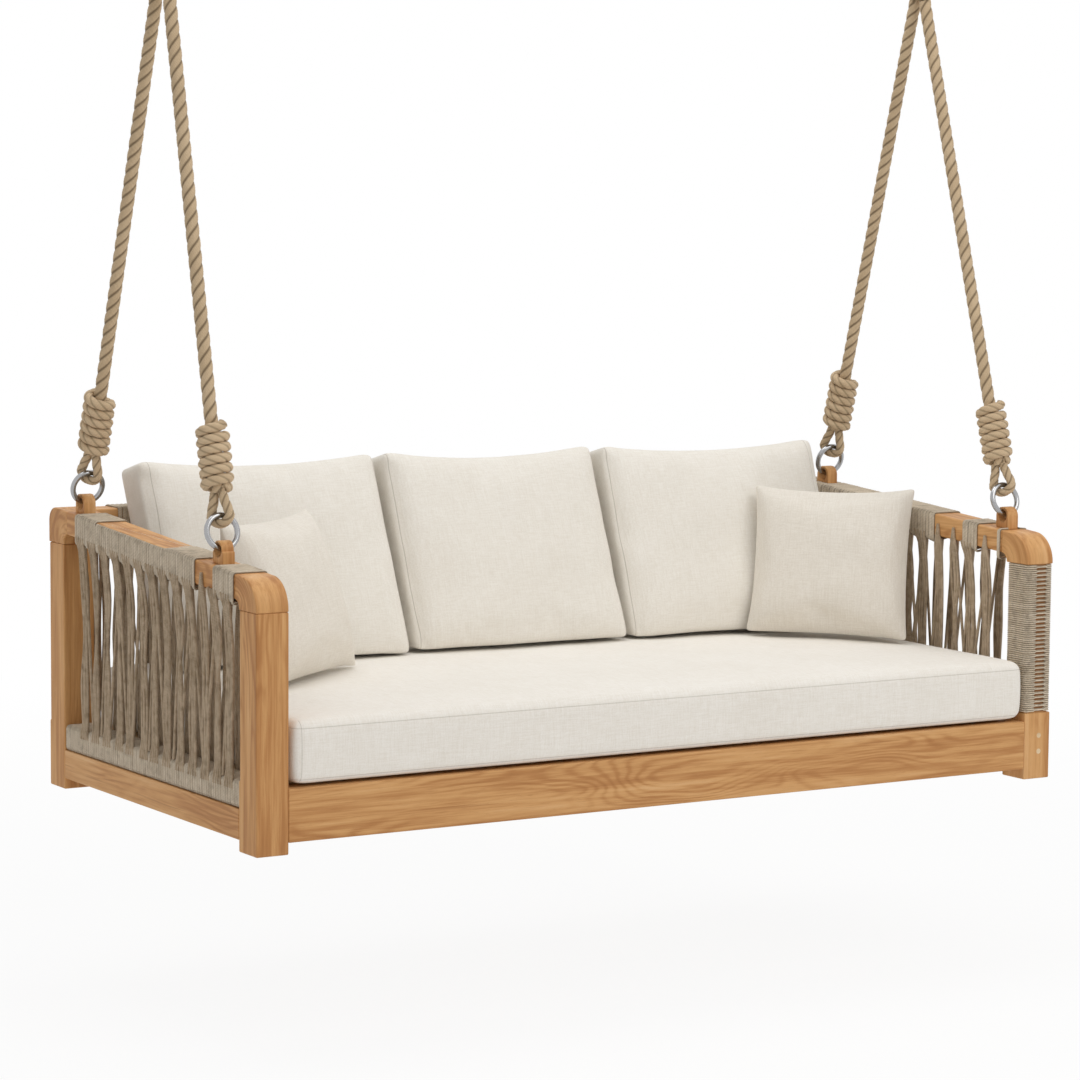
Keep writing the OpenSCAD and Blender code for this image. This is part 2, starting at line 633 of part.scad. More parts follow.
// Dowels of the left side, each with its middle and direction (0 = x, 1 = y, 2 = z)
cord_z = (cord_rail_low + cord_rail_top) / 2;
cord_pin_z = [cord_z + 12, cord_z - 12];
DOWELS = concat(
  [for (p = [0, 1], z = [base_low + dowel_in, apron_top - dowel_in])
    [[apron_t / 2, p == 0 ? foot_d : bed_d - foot_d, z], 1]],
  [for (p = [0, 1], x = [dowel_in, post_w - dowel_in]) [[x, p == 0 ? foot_d : bed_d - foot_d, cord_pin_z[0]], 1]],
  [for (z = [base_low + dowel_in, front_rail_top - dowel_in]) [[post_w, front_rail_t / 2, z], 0]],
  [for (z = [base_low + dowel_in, apron_top - dowel_in]) [[post_w, slat_end + back_rail_t / 2, z], 0]],
  [for (y = [dowel_in, back_rail_d - dowel_in]) [[post_w, back_y + y, cord_pin_z[1]], 0]],
  [for (y = [dowel_in, back_rail_d - dowel_in]) [[post_w, back_y + y, back_top_z - rail_h / 2], 0]],
  [for (x = [dowel_in, post_w - dowel_in]) [[x, post_d / 2, seam_front], 2]],
  [for (x = [dowel_in, post_w - dowel_in]) [[x, post_y[1] + post_d / 2, seam_back], 2]],
  [for (k = [0, 1], x = [dowel_in, post_w - dowel_in]) [[x, rail_y[k], arm_z(rail_y[k]) - rail_h / 2], 1]]
);
module dowel(q, d, l) translate(q[0]) rotate(q[1] == 0 ? [0, 90, 0] : q[1] == 1 ? [90, 0, 0] : [0, 0, 0])
  cylinder(d = d, h = l, center = true, $fn = 24);
module dowel_holes(lo, hi) for (q = DOWELS)
  if (min([for (j = [0, 1, 2]) q[0][j] - lo[j]]) >= -1 && max([for (j = [0, 1, 2]) q[0][j] - hi[j]]) <= 1)
    dowel(q, dowel_d, dowel_l + 2);
dowel_short = 36;
plug_d = 12;
plug_l = 10;
plug_z = [62, 98];
plug_x = 31;
module dowels_and_plugs() color(pale_wood) place() {
  for (i = [0, 1]) side(i) for (q = DOWELS) dowel(q, dowel_d - 0.1, q[1] == 2 ? dowel_short : dowel_l);
  side(1) for (z = plug_z) rod_y([plug_x, 0, z], plug_d - 0.1, plug_l);
}

shaft_r = 8;
module shaft(i, k) {
  h = k == 0 ? seam_front : seam_back;
  if (i == 1 && k == 0) {
    translate([0, post_y[k], 0]) cube([post_w, post_d, foot_h + 5]);
    translate([post_recess, post_recess, foot_h]) linear_extrude(h - foot_h)
      round_rect(post_w - 2 * post_recess, post_d - 2 * post_recess, shaft_r);
  } else translate([0, post_y[k], 0]) cube([post_w, post_d, h]);
}
module post(i, k) color(wood) place() side(i) difference() {
  union() {
    translate([0, post_y[k], 0]) cube([post_w, foot_d, foot_h]);
    shaft(i, k);
  }
  dowel_holes([0, post_y[k], 0], [post_w, post_y[k] + foot_d, seam_back]);
  if (i == 1 && k == 0) for (z = plug_z) rod_y([plug_x, -1, z], plug_d, plug_l + 2);
}

// Outline of a corner block in y and z
function elbow_centre_z(y, r) = arm_z(y) - r * sqrt(1 + slope * slope);
front_block = concat(
  [[0, seam_front]],
  arc([elbow_out, elbow_centre_z(elbow_out, elbow_out)], elbow_out, 180, 90 + slope_deg, 16),
  [[block_l, arm_z(block_l)]],
  arc([block_l, arm_z(block_l) - rail_h - elbow_inner], elbow_inner, 90, 180, 8),
  [[foot_d, seam_front]]
);
back_c = bed_d - back_elbow_r;
back_block = concat(
  [[bed_d, seam_back]],
  arc([back_c, elbow_centre_z(back_c, back_elbow_r)], back_elbow_r, 0, 90 + slope_deg, 10),
  [[rail_y[1], arm_z(rail_y[1])]],
  arc([rail_y[1], arm_z(rail_y[1]) - rail_h - elbow_inner], elbow_inner, 90, 0, 8),
  [[bed_d - foot_d, seam_back]]
);
module corner_block(i, k) color(wood) place() side(i) difference() {
  slab_yz(0, post_w) polygon(k == 0 ? front_block : back_block);
  dowel_holes([0, k * rail_y[1], arm_low], [post_w, k == 0 ? block_l : bed_d, arm_high]);
}

// A bar along the sloping arm, grown by g on every side, cut square at y0 and y1
module arm_bar(y0, y1, g) intersection() {
  translate([-g, y0, 0]) cube([post_w + 2 * g, y1 - y0, 2 * arm_top]);
  translate([0, 0, arm_top]) rotate([slope_deg, 0, 0]) bar_y(-60, bed_d + 120)
    translate([-g, -rail_h * cos(slope_deg) - g]) round_rect(post_w + 2 * g, rail_h * cos(slope_deg) + 2 * g, rail_r + g);
}
module arm_rail(i) color(wood) place() side(i) difference() {
  arm_bar(rail_y[0], rail_y[1], 0);
  dowel_holes([0, rail_y[0], arm_low], [post_w, rail_y[1], arm_high]);
  for (k = [0, 1]) lug_bolt_holes(i, k);
}
module bar_x(x0, l, y, z, d, h, r) translate([x0, y, z]) rotate([90, 0, 90]) linear_extrude(l) round_rect(d, h, r);
module both_sides_holes(lo, hi) for (i = [0, 1]) side(i) dowel_holes(lo, hi);
module back_top_rail() color(wood) place() difference() {
  bar_x(post_w, inner_l, back_y, back_top_z - rail_h, back_rail_d, rail_h, rail_r);
  both_sides_holes([post_w, back_y, arm_low], [post_w, bed_d, arm_high]);
}
module cord_rail_side(i) color(wood) place() side(i) difference() {
  bar_y(foot_d, bed_d - 2 * foot_d) translate([cord_rail_in, cord_rail_low])
    round_rect(post_w - 2 * cord_rail_in, cord_rail_top - cord_rail_low, rail_r);
  dowel_holes([0, foot_d, cord_rail_low], [post_w, bed_d - foot_d, cord_rail_top]);
}
module cord_rail_back() color(wood) place() difference() {
  bar_x(post_w, inner_l, back_y + back_cord_rail_in, cord_rail_low, back_cord_d, cord_rail_top - cord_rail_low, rail_r);
  both_sides_holes([post_w, back_y, cord_rail_low], [post_w, bed_d, cord_rail_top]);
}
module side_apron(i) color(wood) place() side(i) difference() {
  translate([0, foot_d, base_low]) cube([apron_t, bed_d - 2 * foot_d, apron_top - base_low]);
  dowel_holes([0, foot_d, base_low], [apron_t, bed_d - foot_d, apron_top]);
}
module front_rail() color(wood) place() difference() {
  translate([post_w, 0, base_low]) cube([inner_l, front_rail_t, front_rail_top - base_low]);
  both_sides_holes([post_w, 0, base_low], [post_w, front_rail_t, front_rail_top]);
}
module back_rail() color(wood) place() difference() {
  translate([post_w, slat_end, base_low]) cube([inner_l, back_rail_t, apron_top - base_low]);
  both_sides_holes([post_w, slat_end, base_low], [post_w, bed_d, apron_top]);
}
// Slats lie on the ledgers and the middle beam
beam_end = post_w + 4;
module middle_beam() color(pale_wood) place() {
  translate([beam_end, beam_y - beam_t / 2, beam_low]) cube([bed_l - 2 * beam_end, beam_t, beam_h]);
  translate([apron_t, beam_y - beam_t / 2, beam_low]) cube([bed_l - 2 * apron_t, beam_t, apron_top - beam_low]);
}
module ledgers() color(pale_wood) place() {
  translate([post_w, front_rail_t, slat_low - ledger_h]) cube([inner_l, ledger_t, ledger_h]);
  translate([post_w, slat_end - ledger_t, slat_low - back_ledger_h]) cube([inner_l, ledger_t, back_ledger_h]);
}
module slats() color(pale_wood) place() for (j = [0 : slat_n - 1])
  translate([post_w + gap + j * slat_pitch, front_rail_t + gap, slat_low])
    cube([slat_w, slat_end - front_rail_t - 2 * gap, slat_t]);

// ---- Cord sides ----------------------------------------------------------

module arm_wrap(y0, y1) difference() {
  arm_bar(y0, y1, wrap_t);
  arm_bar(y0 - 1, y1 + 1, 0.1);
}
module strand_y(x, y, z0, z1) translate([x, y, z0]) linear_extrude(z1 - z0) round_rect(strand_t, strand_w, 3);
// Strands stand on the lower wrap and end under the arm's wrap, or under its bare wood
strand_foot = cord_rail_top + wrap_t + gap;
function arm_bands(i) = i == 0 ? [[rail_y[0] + gap, left_band_end - 2], [left_wrap_y, lug_y[0][1] - lug_l / 2 - 1]]
  : [[rail_y[0] + gap, rail_y[0] + band_narrow], lobe_band, [right_wrap_y, rail_y[1] - gap]];
function under_wrap(i, y) = max([for (b = arm_bands(i)) b[0] < y + strand_w + gap && b[1] > y - gap ? 1 : 0]);
module cord_panel_side(i) color(cord_col) place() side(i) for (r = [0, 1], j = [0 : arm_strands - 1 - r]) {
  y = strand_y0 + (j + r / 2) * strand_pitch;
  strand_y(strand_x[r], y, strand_foot, arm_z(y) - rail_h - gap - under_wrap(i, y) * wrap_t / cos(slope_deg));
}
// A wrap of thickness wrap_t round a rail's outline d by h
module rail_wrap(d, h) difference() {
  translate([-wrap_t, -wrap_t]) round_rect(d + 2 * wrap_t, h + 2 * wrap_t, rail_r + wrap_t);
  translate([-0.1, -0.1]) round_rect(d + 0.2, h + 0.2, rail_r);
}
cord_h = cord_rail_top - cord_rail_low;
module side_wraps(i) {
  for (b = arm_bands(i)) arm_wrap_clear(i, b);
  bar_y(foot_d + gap, bed_d - 2 * foot_d - 2 * gap) translate([cord_rail_in, cord_rail_low])
    rail_wrap(post_w - 2 * cord_rail_in, cord_h);
}
// A wrap leaves the lugs' seats free
module arm_wrap_clear(i, b) difference() {
  arm_wrap(b[0], b[1]);
  for (k = [0, 1]) translate([lug_x - lug_w / 2 - gap, lug_y[i][k] - lug_l / 2 - gap, arm_z(lug_y[i][k]) - rail_h / 2])
    cube([lug_w + 2 * gap, lug_l + 2 * gap, rail_h]);
}
module back_wraps() {
  translate([post_w + back_wrap_in, back_y, back_top_z - rail_h]) rotate([90, 0, 90])
    linear_extrude(inner_l - 2 * back_wrap_in) rail_wrap(back_rail_d, rail_h);
  translate([post_w + gap, back_y + back_cord_rail_in, cord_rail_low]) rotate([90, 0, 90])
    linear_extrude(inner_l - 2 * gap) rail_wrap(back_cord_d, cord_h);
}
module cord_wraps() color(cord_col) place() {
  for (i = [0, 1]) side(i) side_wraps(i);
  back_wraps();
}
module cord_panel_back() color(cord_col) place() for (r = [0, 1], j = [0 : back_strands - 1 - r]) {
  x = back_strand_x0 + (j + r / 2) * strand_pitch;
  bare = x + strand_w < post_w + back_wrap_in || x > bed_l - post_w - back_wrap_in;
  top = back_top_z - rail_h - gap - (bare ? 0 : wrap_t);
  translate([x, back_y + back_strand_y[r], strand_foot]) linear_extrude(top - strand_foot) round_rect(strand_w, strand_t, 3);
}
back_strand_y = [back_rail_d - strand_t - 4, 4];

// Winding of the right front post: cords laid side by side, as one band round the recessed shaft
post_half = [post_w / 2 - post_recess + post_cord_t / 2 + gap, post_d / 2 - post_recess + post_cord_t / 2 + gap];
post_corner = 6;
post_wrap_low = foot_h + post_wrap_up;
post_wrap_h = seam_front - gap - post_wrap_low - post_cord_w;
post_turns = floor(post_wrap_h / post_step + 0.001);
post_pitch = post_wrap_h / post_turns;
corner_of = [
  for (q = [[1, 1], [-1, 1], [-1, -1], [1, -1]])
    let (a = [q[0] * post_half[0], q[1] * (post_half[1] - post_corner)], b = [q[0] * (post_half[0] - post_corner), q[1] * post_half[1]])
    each (q[0] * q[1] > 0 ? [a, b] : [b, a])
];
post_path = [for (j = [0 : 8 * post_turns]) let (q = corner_of[j % 8]) [q[0], q[1], post_pitch * j / 8]];
echo(post_winding_gap_mm = self_gap(post_path, 8, post_cord_w), pitch = post_pitch);
module post_winding() color(cord_col) place() side(1) translate([post_w / 2, post_d / 2, post_wrap_low + post_cord_w / 2])
  tube(post_path, axis_ups(post_path), post_cord_t / 2, post_cord_w / 2 / cos(30), 6);

// ---- Cushions ------------------------------------------------------------

// Height of the seat's crowned top at a point
function seat_top(x, y) =
  seat_low + seat_t + seat_crown * swell((x - bed_l / 2) / (seat_l / 2)) * swell((y - seat_mid) / (seat_d / 2));
seat_bulge = 3;
back_bulge = 4;
module seat_cushion() color(linen) place() {
  pts = pad_points(seat_l, seat_d, seat_t / 2, seat_crown, 0, 0.004, seat_bulge, 20, 12);
  polyhedron([for (p = pts) [bed_l / 2 + p[0], seat_mid + p[2], seat_low + seat_t / 2 + p[1]]], pad_faces(20, 12));
}
// Highest point of the seat under a back cushion
function back_base(q) =
  let (x = min(max(bed_l / 2, q[0] - q[1] / 2), q[0] + q[1] / 2))
  seat_top(x, q[2]) + gap;
module back_cushion(n) color(linen) place() {
  q = BACKS[n];
  pts = pad_points(q[1], back_h, 0.5, back_crown / back_t, 0.02, 0.02, back_bulge, 14, 12);
  polyhedron([for (p = pts)
    let (h = (p[2] + back_h / 2) / back_h, t = back_t + (back_top_t - back_t) * h)
    [q[0] + p[0], q[2] + back_h * h * tan(q[3]) + t * (0.5 - p[1]), back_base(q) + back_h * h]],
    pad_faces(14, 12));
}
function turned(a, v) = [v[0] * cos(a) - v[1] * sin(a), v[0] * sin(a) + v[1] * cos(a)];
function leaned(a, v) = [v[0], v[1] * cos(a) - v[2] * sin(a), v[1] * sin(a) + v[2] * cos(a)];
// A pillow's two lower corners, which rest on the seat
function pillow_corner(q, s) =
  let (v = leaned(q[3], [s * q[4] / 2, 0, -pillow_h / 2]), w = turned(q[2], v))
  [q[0] + w[0], q[1] + w[1]];
function pillow_z(q) =
  max([for (s = side_sign, t = [0.5, 1]) let (c = pillow_corner(q, s * t)) seat_top(c[0], c[1])]) + gap
    + pillow_h / 2 * cos(q[3]) + pillow_edge * sin(abs(q[3]));
module pillow(n) color(linen) place() {
  q = PILLOWS[n];
  pts = pad_points(q[4], pillow_h, pillow_edge, pillow_crown, pillow_crown, 0.05, 1, 12, 12);
  translate([q[0], q[1], pillow_z(q)]) rotate([0, 0, q[2]]) rotate([q[3], 0, 0])
    polyhedron([for (p = pts) [p[0], -p[1], p[2]]], pad_faces(12, 12));
}

ceiling_plate(0);  // ceiling_plate_left
ceiling_plate(1);  // ceiling_plate_right
pivot_pins();
pivot_nuts();
pivot_bush(0);  // pivot_bush_left
pivot_bush(1);  // pivot_bush_right
hanger(0);  // hanger_left
hanger(1);  // hanger_right
top_ring(0);  // top_ring_left
top_ring(1);  // top_ring_right
rope(0);  // rope_left
rope(1);  // rope_right
top_lashing(0);  // top_lashing_left
top_lashing(1);  // top_lashing_right
knot(0, 0);  // knot_left_front
knot(0, 1);  // knot_left_back
knot(1, 0);  // knot_right_front
knot(1, 1);  // knot_right_back
ring(0, 0);  // ring_left_front
ring(0, 1);  // ring_left_back
ring(1, 0);  // ring_right_front
ring(1, 1);  // ring_right_back
lug(0, 0);  // lug_left_front
lug(0, 1);  // lug_left_back
lug(1, 0);  // lug_right_front
lug(1, 1);  // lug_right_back
lug_bolts();
post(0, 0);  // post_left_front
post(0, 1);  // post_left_back
post(1, 0);  // post_right_front
post(1, 1);  // post_right_back
corner_block(0, 0);  // corner_block_left_front
corner_block(0, 1);  // corner_block_left_back
corner_block(1, 0);  // corner_block_right_front
corner_block(1, 1);  // corner_block_right_back
arm_rail(0);  // arm_rail_left
arm_rail(1);  // arm_rail_right
back_top_rail();
cord_rail_side(0);  // cord_rail_left
cord_rail_side(1);  // cord_rail_right
cord_rail_back();
side_apron(0);  // side_apron_left
side_apron(1);  // side_apron_right
front_rail();
back_rail();
middle_beam();
ledgers();
slats();
dowels_and_plugs();
cord_wraps();
cord_panel_side(0);  // cord_panel_left
cord_panel_side(1);  // cord_panel_right
cord_panel_back();
post_winding();
seat_cushion();
back_cushion(0);  // back_cushion_left
back_cushion(1);  // back_cushion_middle
back_cushion(2);  // back_cushion_right
pillow(0);  // pillow_left
pillow(1);  // pillow_right
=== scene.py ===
"""Looks of the hanging swing bed: wood, cord sides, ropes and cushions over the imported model."""

import math
import random
from itertools import accumulate

import bmesh
import bpy
from mathutils import Matrix, Vector, noise


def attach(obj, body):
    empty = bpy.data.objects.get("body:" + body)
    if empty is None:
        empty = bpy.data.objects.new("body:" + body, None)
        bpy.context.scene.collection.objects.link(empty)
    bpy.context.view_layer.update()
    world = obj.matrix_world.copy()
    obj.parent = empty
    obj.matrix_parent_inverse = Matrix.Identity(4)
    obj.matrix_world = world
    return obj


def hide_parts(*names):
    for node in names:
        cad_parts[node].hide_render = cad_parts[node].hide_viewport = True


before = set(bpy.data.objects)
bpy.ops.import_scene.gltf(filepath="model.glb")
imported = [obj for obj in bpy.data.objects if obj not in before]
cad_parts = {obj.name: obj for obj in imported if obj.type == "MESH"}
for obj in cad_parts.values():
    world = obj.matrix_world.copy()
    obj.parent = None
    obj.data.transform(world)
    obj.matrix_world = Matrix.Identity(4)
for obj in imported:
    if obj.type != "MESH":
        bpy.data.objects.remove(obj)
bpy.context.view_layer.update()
scene = bpy.context.scene
scene.view_settings.view_transform = "Standard"

# ---- The bed's own measures, in millimetres from its left, front and foot ----

BED_L, BED_D, HOOK_Y, CEILING = 2000, 1000, 484, 2070
POST_W, FOOT_D, POST_D = 72, 78, 74
ARM_TOP, RISE, RAIL_H = 548, 69, 50
SLOPE = RISE / BED_D
BLOCK_L = 96
LUG_X = 34
LUG_Y = {("left", "front"): 211, ("left", "back"): 880, ("right", "front"): 125, ("right", "back"): 820}
WIRE_UP = {"front": 31, "back": 25}
RING_R, RING_WIRE = 34, 12
ROPE_D, TIGHT_D = 28, 20
PAIR = ROPE_D / 2 + 0.4  # from the hooks' middle to each half of a rope, where the halves lie together
KNOT_GAP, KNOT_PITCH, KNOT_TURNS, EYE_TURN = 112, 21, 6, 32
MEET_Z, LASH_TURNS, LASH_D = 1761.97, 4, 11
LOOP_R, LOOP_L, TOP_RING_DROP = 36, 95, 147.33
CORD_LOW, CORD_TOP = 90, 139
SEAM_FRONT = 485
BEND_Z = {"front": 483, "back": 545}
SIDES = ("left", "right")
ENDS = ("front", "back")


def bed(x, y, z):
    """A point of the bed's own measures in the model's frame."""
    return Vector(((x - BED_L / 2) / 1000, (y - HOOK_Y) / 1000, (z - CEILING) / 1000))


def across(side, x):
    """A distance from a side's outer face, as a distance from the left face."""
    return x if side == "left" else BED_L - x


def arm_z(y):
    """Height of an arm's top at a distance from the front."""
    return ARM_TOP + SLOPE * y


def placed(name, data):
    """A new object in the scene."""
    thing = bpy.data.objects.new(name, data)
    scene.collection.objects.link(thing)
    return thing


# ---- Camera and light ----

CAMERA_PLACE, LENS = (-4.2152, -6.8099, -0.7145), 121.25
CAMERA_TURN, CAMERA_LIFT, CAMERA_ROLL = -31.4235, 5.8094, 0.4326


def make_camera():
    data = bpy.data.cameras.new("camera")
    data.sensor_width, data.lens = 36, LENS
    data.clip_start, data.clip_end = 0.1, 100
    camera = placed("camera", data)
    turn, tilt, roll = (math.radians(a) for a in (CAMERA_TURN, 90 - CAMERA_LIFT, CAMERA_ROLL))
    aim = Matrix.Rotation(turn, 4, "Z") @ Matrix.Rotation(tilt, 4, "X") @ Matrix.Rotation(roll, 4, "Z")
    camera.matrix_world = Matrix.Translation(CAMERA_PLACE) @ aim
    scene.camera = camera


def soft_lamp(name, place, aim, width, power, tint):
    data = bpy.data.lights.new(name, "AREA")
    data.size, data.energy, data.color = width, power, tint
    lamp = placed(name, data)
    lamp.location = place
    lamp.rotation_mode = "QUATERNION"
    lamp.rotation_quaternion = (Vector(aim) - Vector(place)).to_track_quat("-Z", "Y")


# ---- Shader sums ----


class Value:
    """One output of a shader node, used like a number."""

    def __init__(self, paint, socket):
        self.paint, self.socket = paint, socket

    def sum(self, operation, *values):
        return self.paint.node("Math", {"operation": operation}, dict(enumerate(values or [self])))

    def __add__(self, other):
        return self.sum("ADD", self, other)

    __radd__ = __add__

    def __mul__(self, other):
        return self.sum("MULTIPLY", self, other)

    __rmul__ = __mul__

    def __sub__(self, other):
        return self.sum("SUBTRACT", self, other)

    def __rsub__(self, other):
        return self.sum("SUBTRACT", other, self)

    def __pow__(self, other):
        return self.sum("POWER", self, other)

    def sine(self):
        return self.sum("SINE")

    def absolute(self):
        return self.sum("ABSOLUTE")

    def root(self):
        return self.sum("SQRT")

    def angle(self, other):
        return self.sum("ARCTAN2", self, other)

    def rest(self):
        return self.sum("FRACT")

    def stretch(self, low, high, to_low=0.0, to_high=1.0):
        """Takes low..high to to_low..to_high and holds it there."""
        sockets = {0: self, 1: low, 2: high, 3: to_low, 4: to_high}
        return self.paint.node("MapRange", {"interpolation_type": "SMOOTHSTEP"}, sockets)

    def part(self, index):
        return self.paint.node("SeparateXYZ", {}, {0: self}, index)


class Paint:
    """A material, or a world, under construction."""

    def __init__(self, name, store="materials"):
        self.made = getattr(bpy.data, store).new(name)
        self.made.use_nodes = True
        self.tree = self.made.node_tree
        self.skin = self.tree.nodes.get("Principled BSDF")

    def node(self, kind, settings, sockets, out=0):
        made = self.tree.nodes.new("ShaderNode" + kind)
        for key, value in settings.items():
            if key == "stops":
                self.set_stops(made.color_ramp, value)
            else:
                setattr(made, key, value)
        for key, value in sockets.items():
            self.feed(made.inputs[key], value)
        return Value(self, made.outputs[out])

    def set_stops(self, ramp, stops):
        while len(ramp.elements) < len(stops):
            ramp.elements.new(0.5)
        for element, (place, colour) in zip(ramp.elements, stops):
            element.position, element.color = place, (*colour, 1)

    def feed(self, socket, value):
        if isinstance(value, Value):
            self.tree.links.new(value.socket, socket)
        else:
            socket.default_value = value

    def coordinates(self):
        return self.node("TexCoord", {}, {}, "Object")

    def uv(self):
        return self.node("TexCoord", {}, {}, "UV")

    def point(self, x, y, z):
        return self.node("CombineXYZ", {}, {0: x, 1: y, 2: z})

    def noise(self, place, scale, detail=3.0, roughness=0.5, distortion=0.0):
        sockets = {"Vector": place, "Scale": scale, "Detail": detail}
        sockets |= {"Roughness": roughness, "Distortion": distortion}
        return self.node("TexNoise", {}, sockets)

    def mix(self, factor, first, second):
        first, second = [(*c, 1) if isinstance(c, tuple) else c for c in (first, second)]
        return self.node("Mix", {"data_type": "RGBA"}, {0: factor, 6: first, 7: second}, 2)

    def bump(self, height, strength, distance):
        return self.node("Bump", {}, {"Height": height, "Strength": strength, "Distance": distance})

    def finish(self, colour, roughness, normal=None, metallic=0.0, sheen=0.0, coat=0.0, shine=0.5):
        for name, value in (("Base Color", colour), ("Roughness", roughness), ("Metallic", metallic)):
            self.feed(self.skin.inputs[name], (*value, 1) if isinstance(value, tuple) else value)
        self.skin.inputs["Specular IOR Level"].default_value = shine
        if normal is not None:
            self.feed(self.skin.inputs["Normal"], normal)
        if sheen:
            self.skin.inputs["Sheen Weight"].default_value = sheen
            self.skin.inputs["Sheen Roughness"].default_value = 0.5
        if coat:
            self.skin.inputs["Coat Weight"].default_value = coat
            self.skin.inputs["Coat Roughness"].default_value = 0.35
        return self.made

    def white_to_sight(self, kind, shader, share, end):
        """Mixes in plain white, by this share, for what the camera and mirrors see."""
        kinds = ("Is Camera Ray", "Is Glossy Ray", "Is Transmission Ray")
        rays = [self.node("LightPath", {}, {}, ray) for ray in kinds]
        white = self.node(kind, {}, {"Color": (1, 1, 1, 1), "Strength": 1.0})
        seen = (rays[0] + rays[1] + rays[2]) * share
        both = self.node("MixShader", {}, {0: seen, 1: Value(self, shader), 2: white})
        self.tree.links.new(both.socket, end)


# ---- Finishes ----

# from the palest stretches of the wood to its darkest lines
TEAK = ((0.765, 0.462, 0.222), (0.665, 0.362, 0.145), (0.50, 0.235, 0.083), (0.38, 0.162, 0.054))
PINE = ((0.86, 0.72, 0.5), (0.78, 0.6, 0.38), (0.68, 0.48, 0.28), (0.5, 0.32, 0.17))


def oiled_wood(name, along, shift=(0, 0, 0), curl=None, strength=1.0, tones=TEAK, painted_shade_heights=None):
    """Oiled wood whose grain runs along axis 0, 1 or 2, or round the x line through the point curl.
    Between the given heights it has painted shade, for the shade that falls in the slots of a winding over
    it."""
    paint = Paint(name)
    place = paint.coordinates()
    x, y, z = (place.part(i) + shift[i] for i in range(3))
    if curl is not None:
        dy, dz = y - curl[0] - shift[1], z - curl[1] - shift[2]
        run, wide, deep = dy.angle(dz) * 0.08, (dy * dy + dz * dz).root(), x
    else:
        run, wide, deep = [(x, z, y), (y, z, x), (z, x, y)][along]

    def grain(drawn, fine, detail=3, roughness=0.6, distortion=0.0, scale=1.0):
        """Noise drawn out along the grain."""
        spot = paint.point(run * drawn, wide * fine, deep * fine)
        return paint.noise(spot, scale, detail, roughness, distortion)

    # growth rings cut on a slant: long nested flames that wander
    flames = ((grain(1.5, 8, 2, 0.45) * 150 + grain(14, 60) * 3.4).sine() * 0.5 + 0.5) ** 2
    where = grain(1.1, 5, 1, 0.5, scale=1.7).stretch(0.4, 0.62)
    bands, streaks, fibres = grain(1.6, 26, 3, 0.55, 0.6), grain(3.2, 95, distortion=0.3), grain(12, 420)
    pores = grain(34, 900, 2, 0.5).stretch(0.6, 0.7)
    tone = bands * 0.62 + streaks * 0.34 + fibres * 0.16 + flames * where * (0.13 * strength)
    stops = [(0.4, tones[0]), (0.535, tones[1]), (0.66, tones[2]), (0.84, tones[3])]
    colour = paint.node("ValToRGB", {"stops": stops}, {0: tone})
    dark_line = grain(1.9, 75, 2, 0.5, scale=1.3).stretch(0.66, 0.74)
    colour = paint.mix(dark_line * 0.55, colour, tones[3])
    colour = paint.mix(pores * 0.3, colour, tones[3])
    # painted shade: the wood is darkened between the given heights, for the shade in the winding's slots
    if painted_shade_heights:
        height = place.part(2)
        under = height.stretch(painted_shade_heights[0], painted_shade_heights[0] + 0.002) * height.stretch(painted_shade_heights[1] - 0.002, painted_shade_heights[1], 1.0, 0.0)
        colour = paint.mix(under * 0.8, colour, (0.23, 0.10, 0.038))
    normal = paint.bump(fibres * 0.6 - pores * 0.8 + streaks * 0.3, 0.22, 0.0008)
    return paint.finish(colour, 0.44 + fibres * 0.16, normal, coat=0.03, shine=0.22)


def thin_cord(name, base, shade, deep, along=None, creased=0.0):
    """Fuzzy braided cord by its own map: a slanted braid, paler hairs and darker stretches.
    Cords that lie side by side along an axis get painted shade where they meet, and each has its own tone."""
    paint = Paint(name)
    place = paint.coordinates()
    uv = paint.uv()
    fuzz = paint.noise(place, 1100, 3, 0.6)
    flecks = paint.noise(place, 330, 2, 0.6)
    turns = paint.noise(place, 75, 2, 0.6)
    wide = paint.noise(place, 9, 2)
    braid = ((uv.part(1) * 3 + uv.part(0) * 90) * 6.283).sine() * 0.5 + 0.5
    tone = (fuzz * 0.4 + flecks * 0.35 + wide * 0.3 + turns * 0.45 + braid * 0.12).stretch(0.52, 1.02)
    colour = paint.mix(tone, shade, base)
    soiled = paint.noise(place, 42, 2, 0.5).stretch(0.5, 0.72)
    colour = paint.mix(soiled * 0.35, colour, deep)
    if along is not None:
        own = paint.noise(paint.point(place.part(along) * 95, 0.0, 0.0), 1.0, 1).stretch(0.35, 0.65)
        colour = paint.mix(own * 0.5, colour, shade)
        # painted shade in the creases where neighbouring cords meet
        painted_crease_shade = ((uv.part(1) * 2 + creased).rest() - 0.5).absolute().stretch(0.33, 0.49)
        colour = paint.mix(painted_crease_shade * 0.92, colour, deep)
    normal = paint.bump(fuzz + flecks * 0.6 + braid * 0.5, 0.7, 0.0012)
    return paint.finish(colour, 0.92, normal, sheen=0.1, shine=0.15)


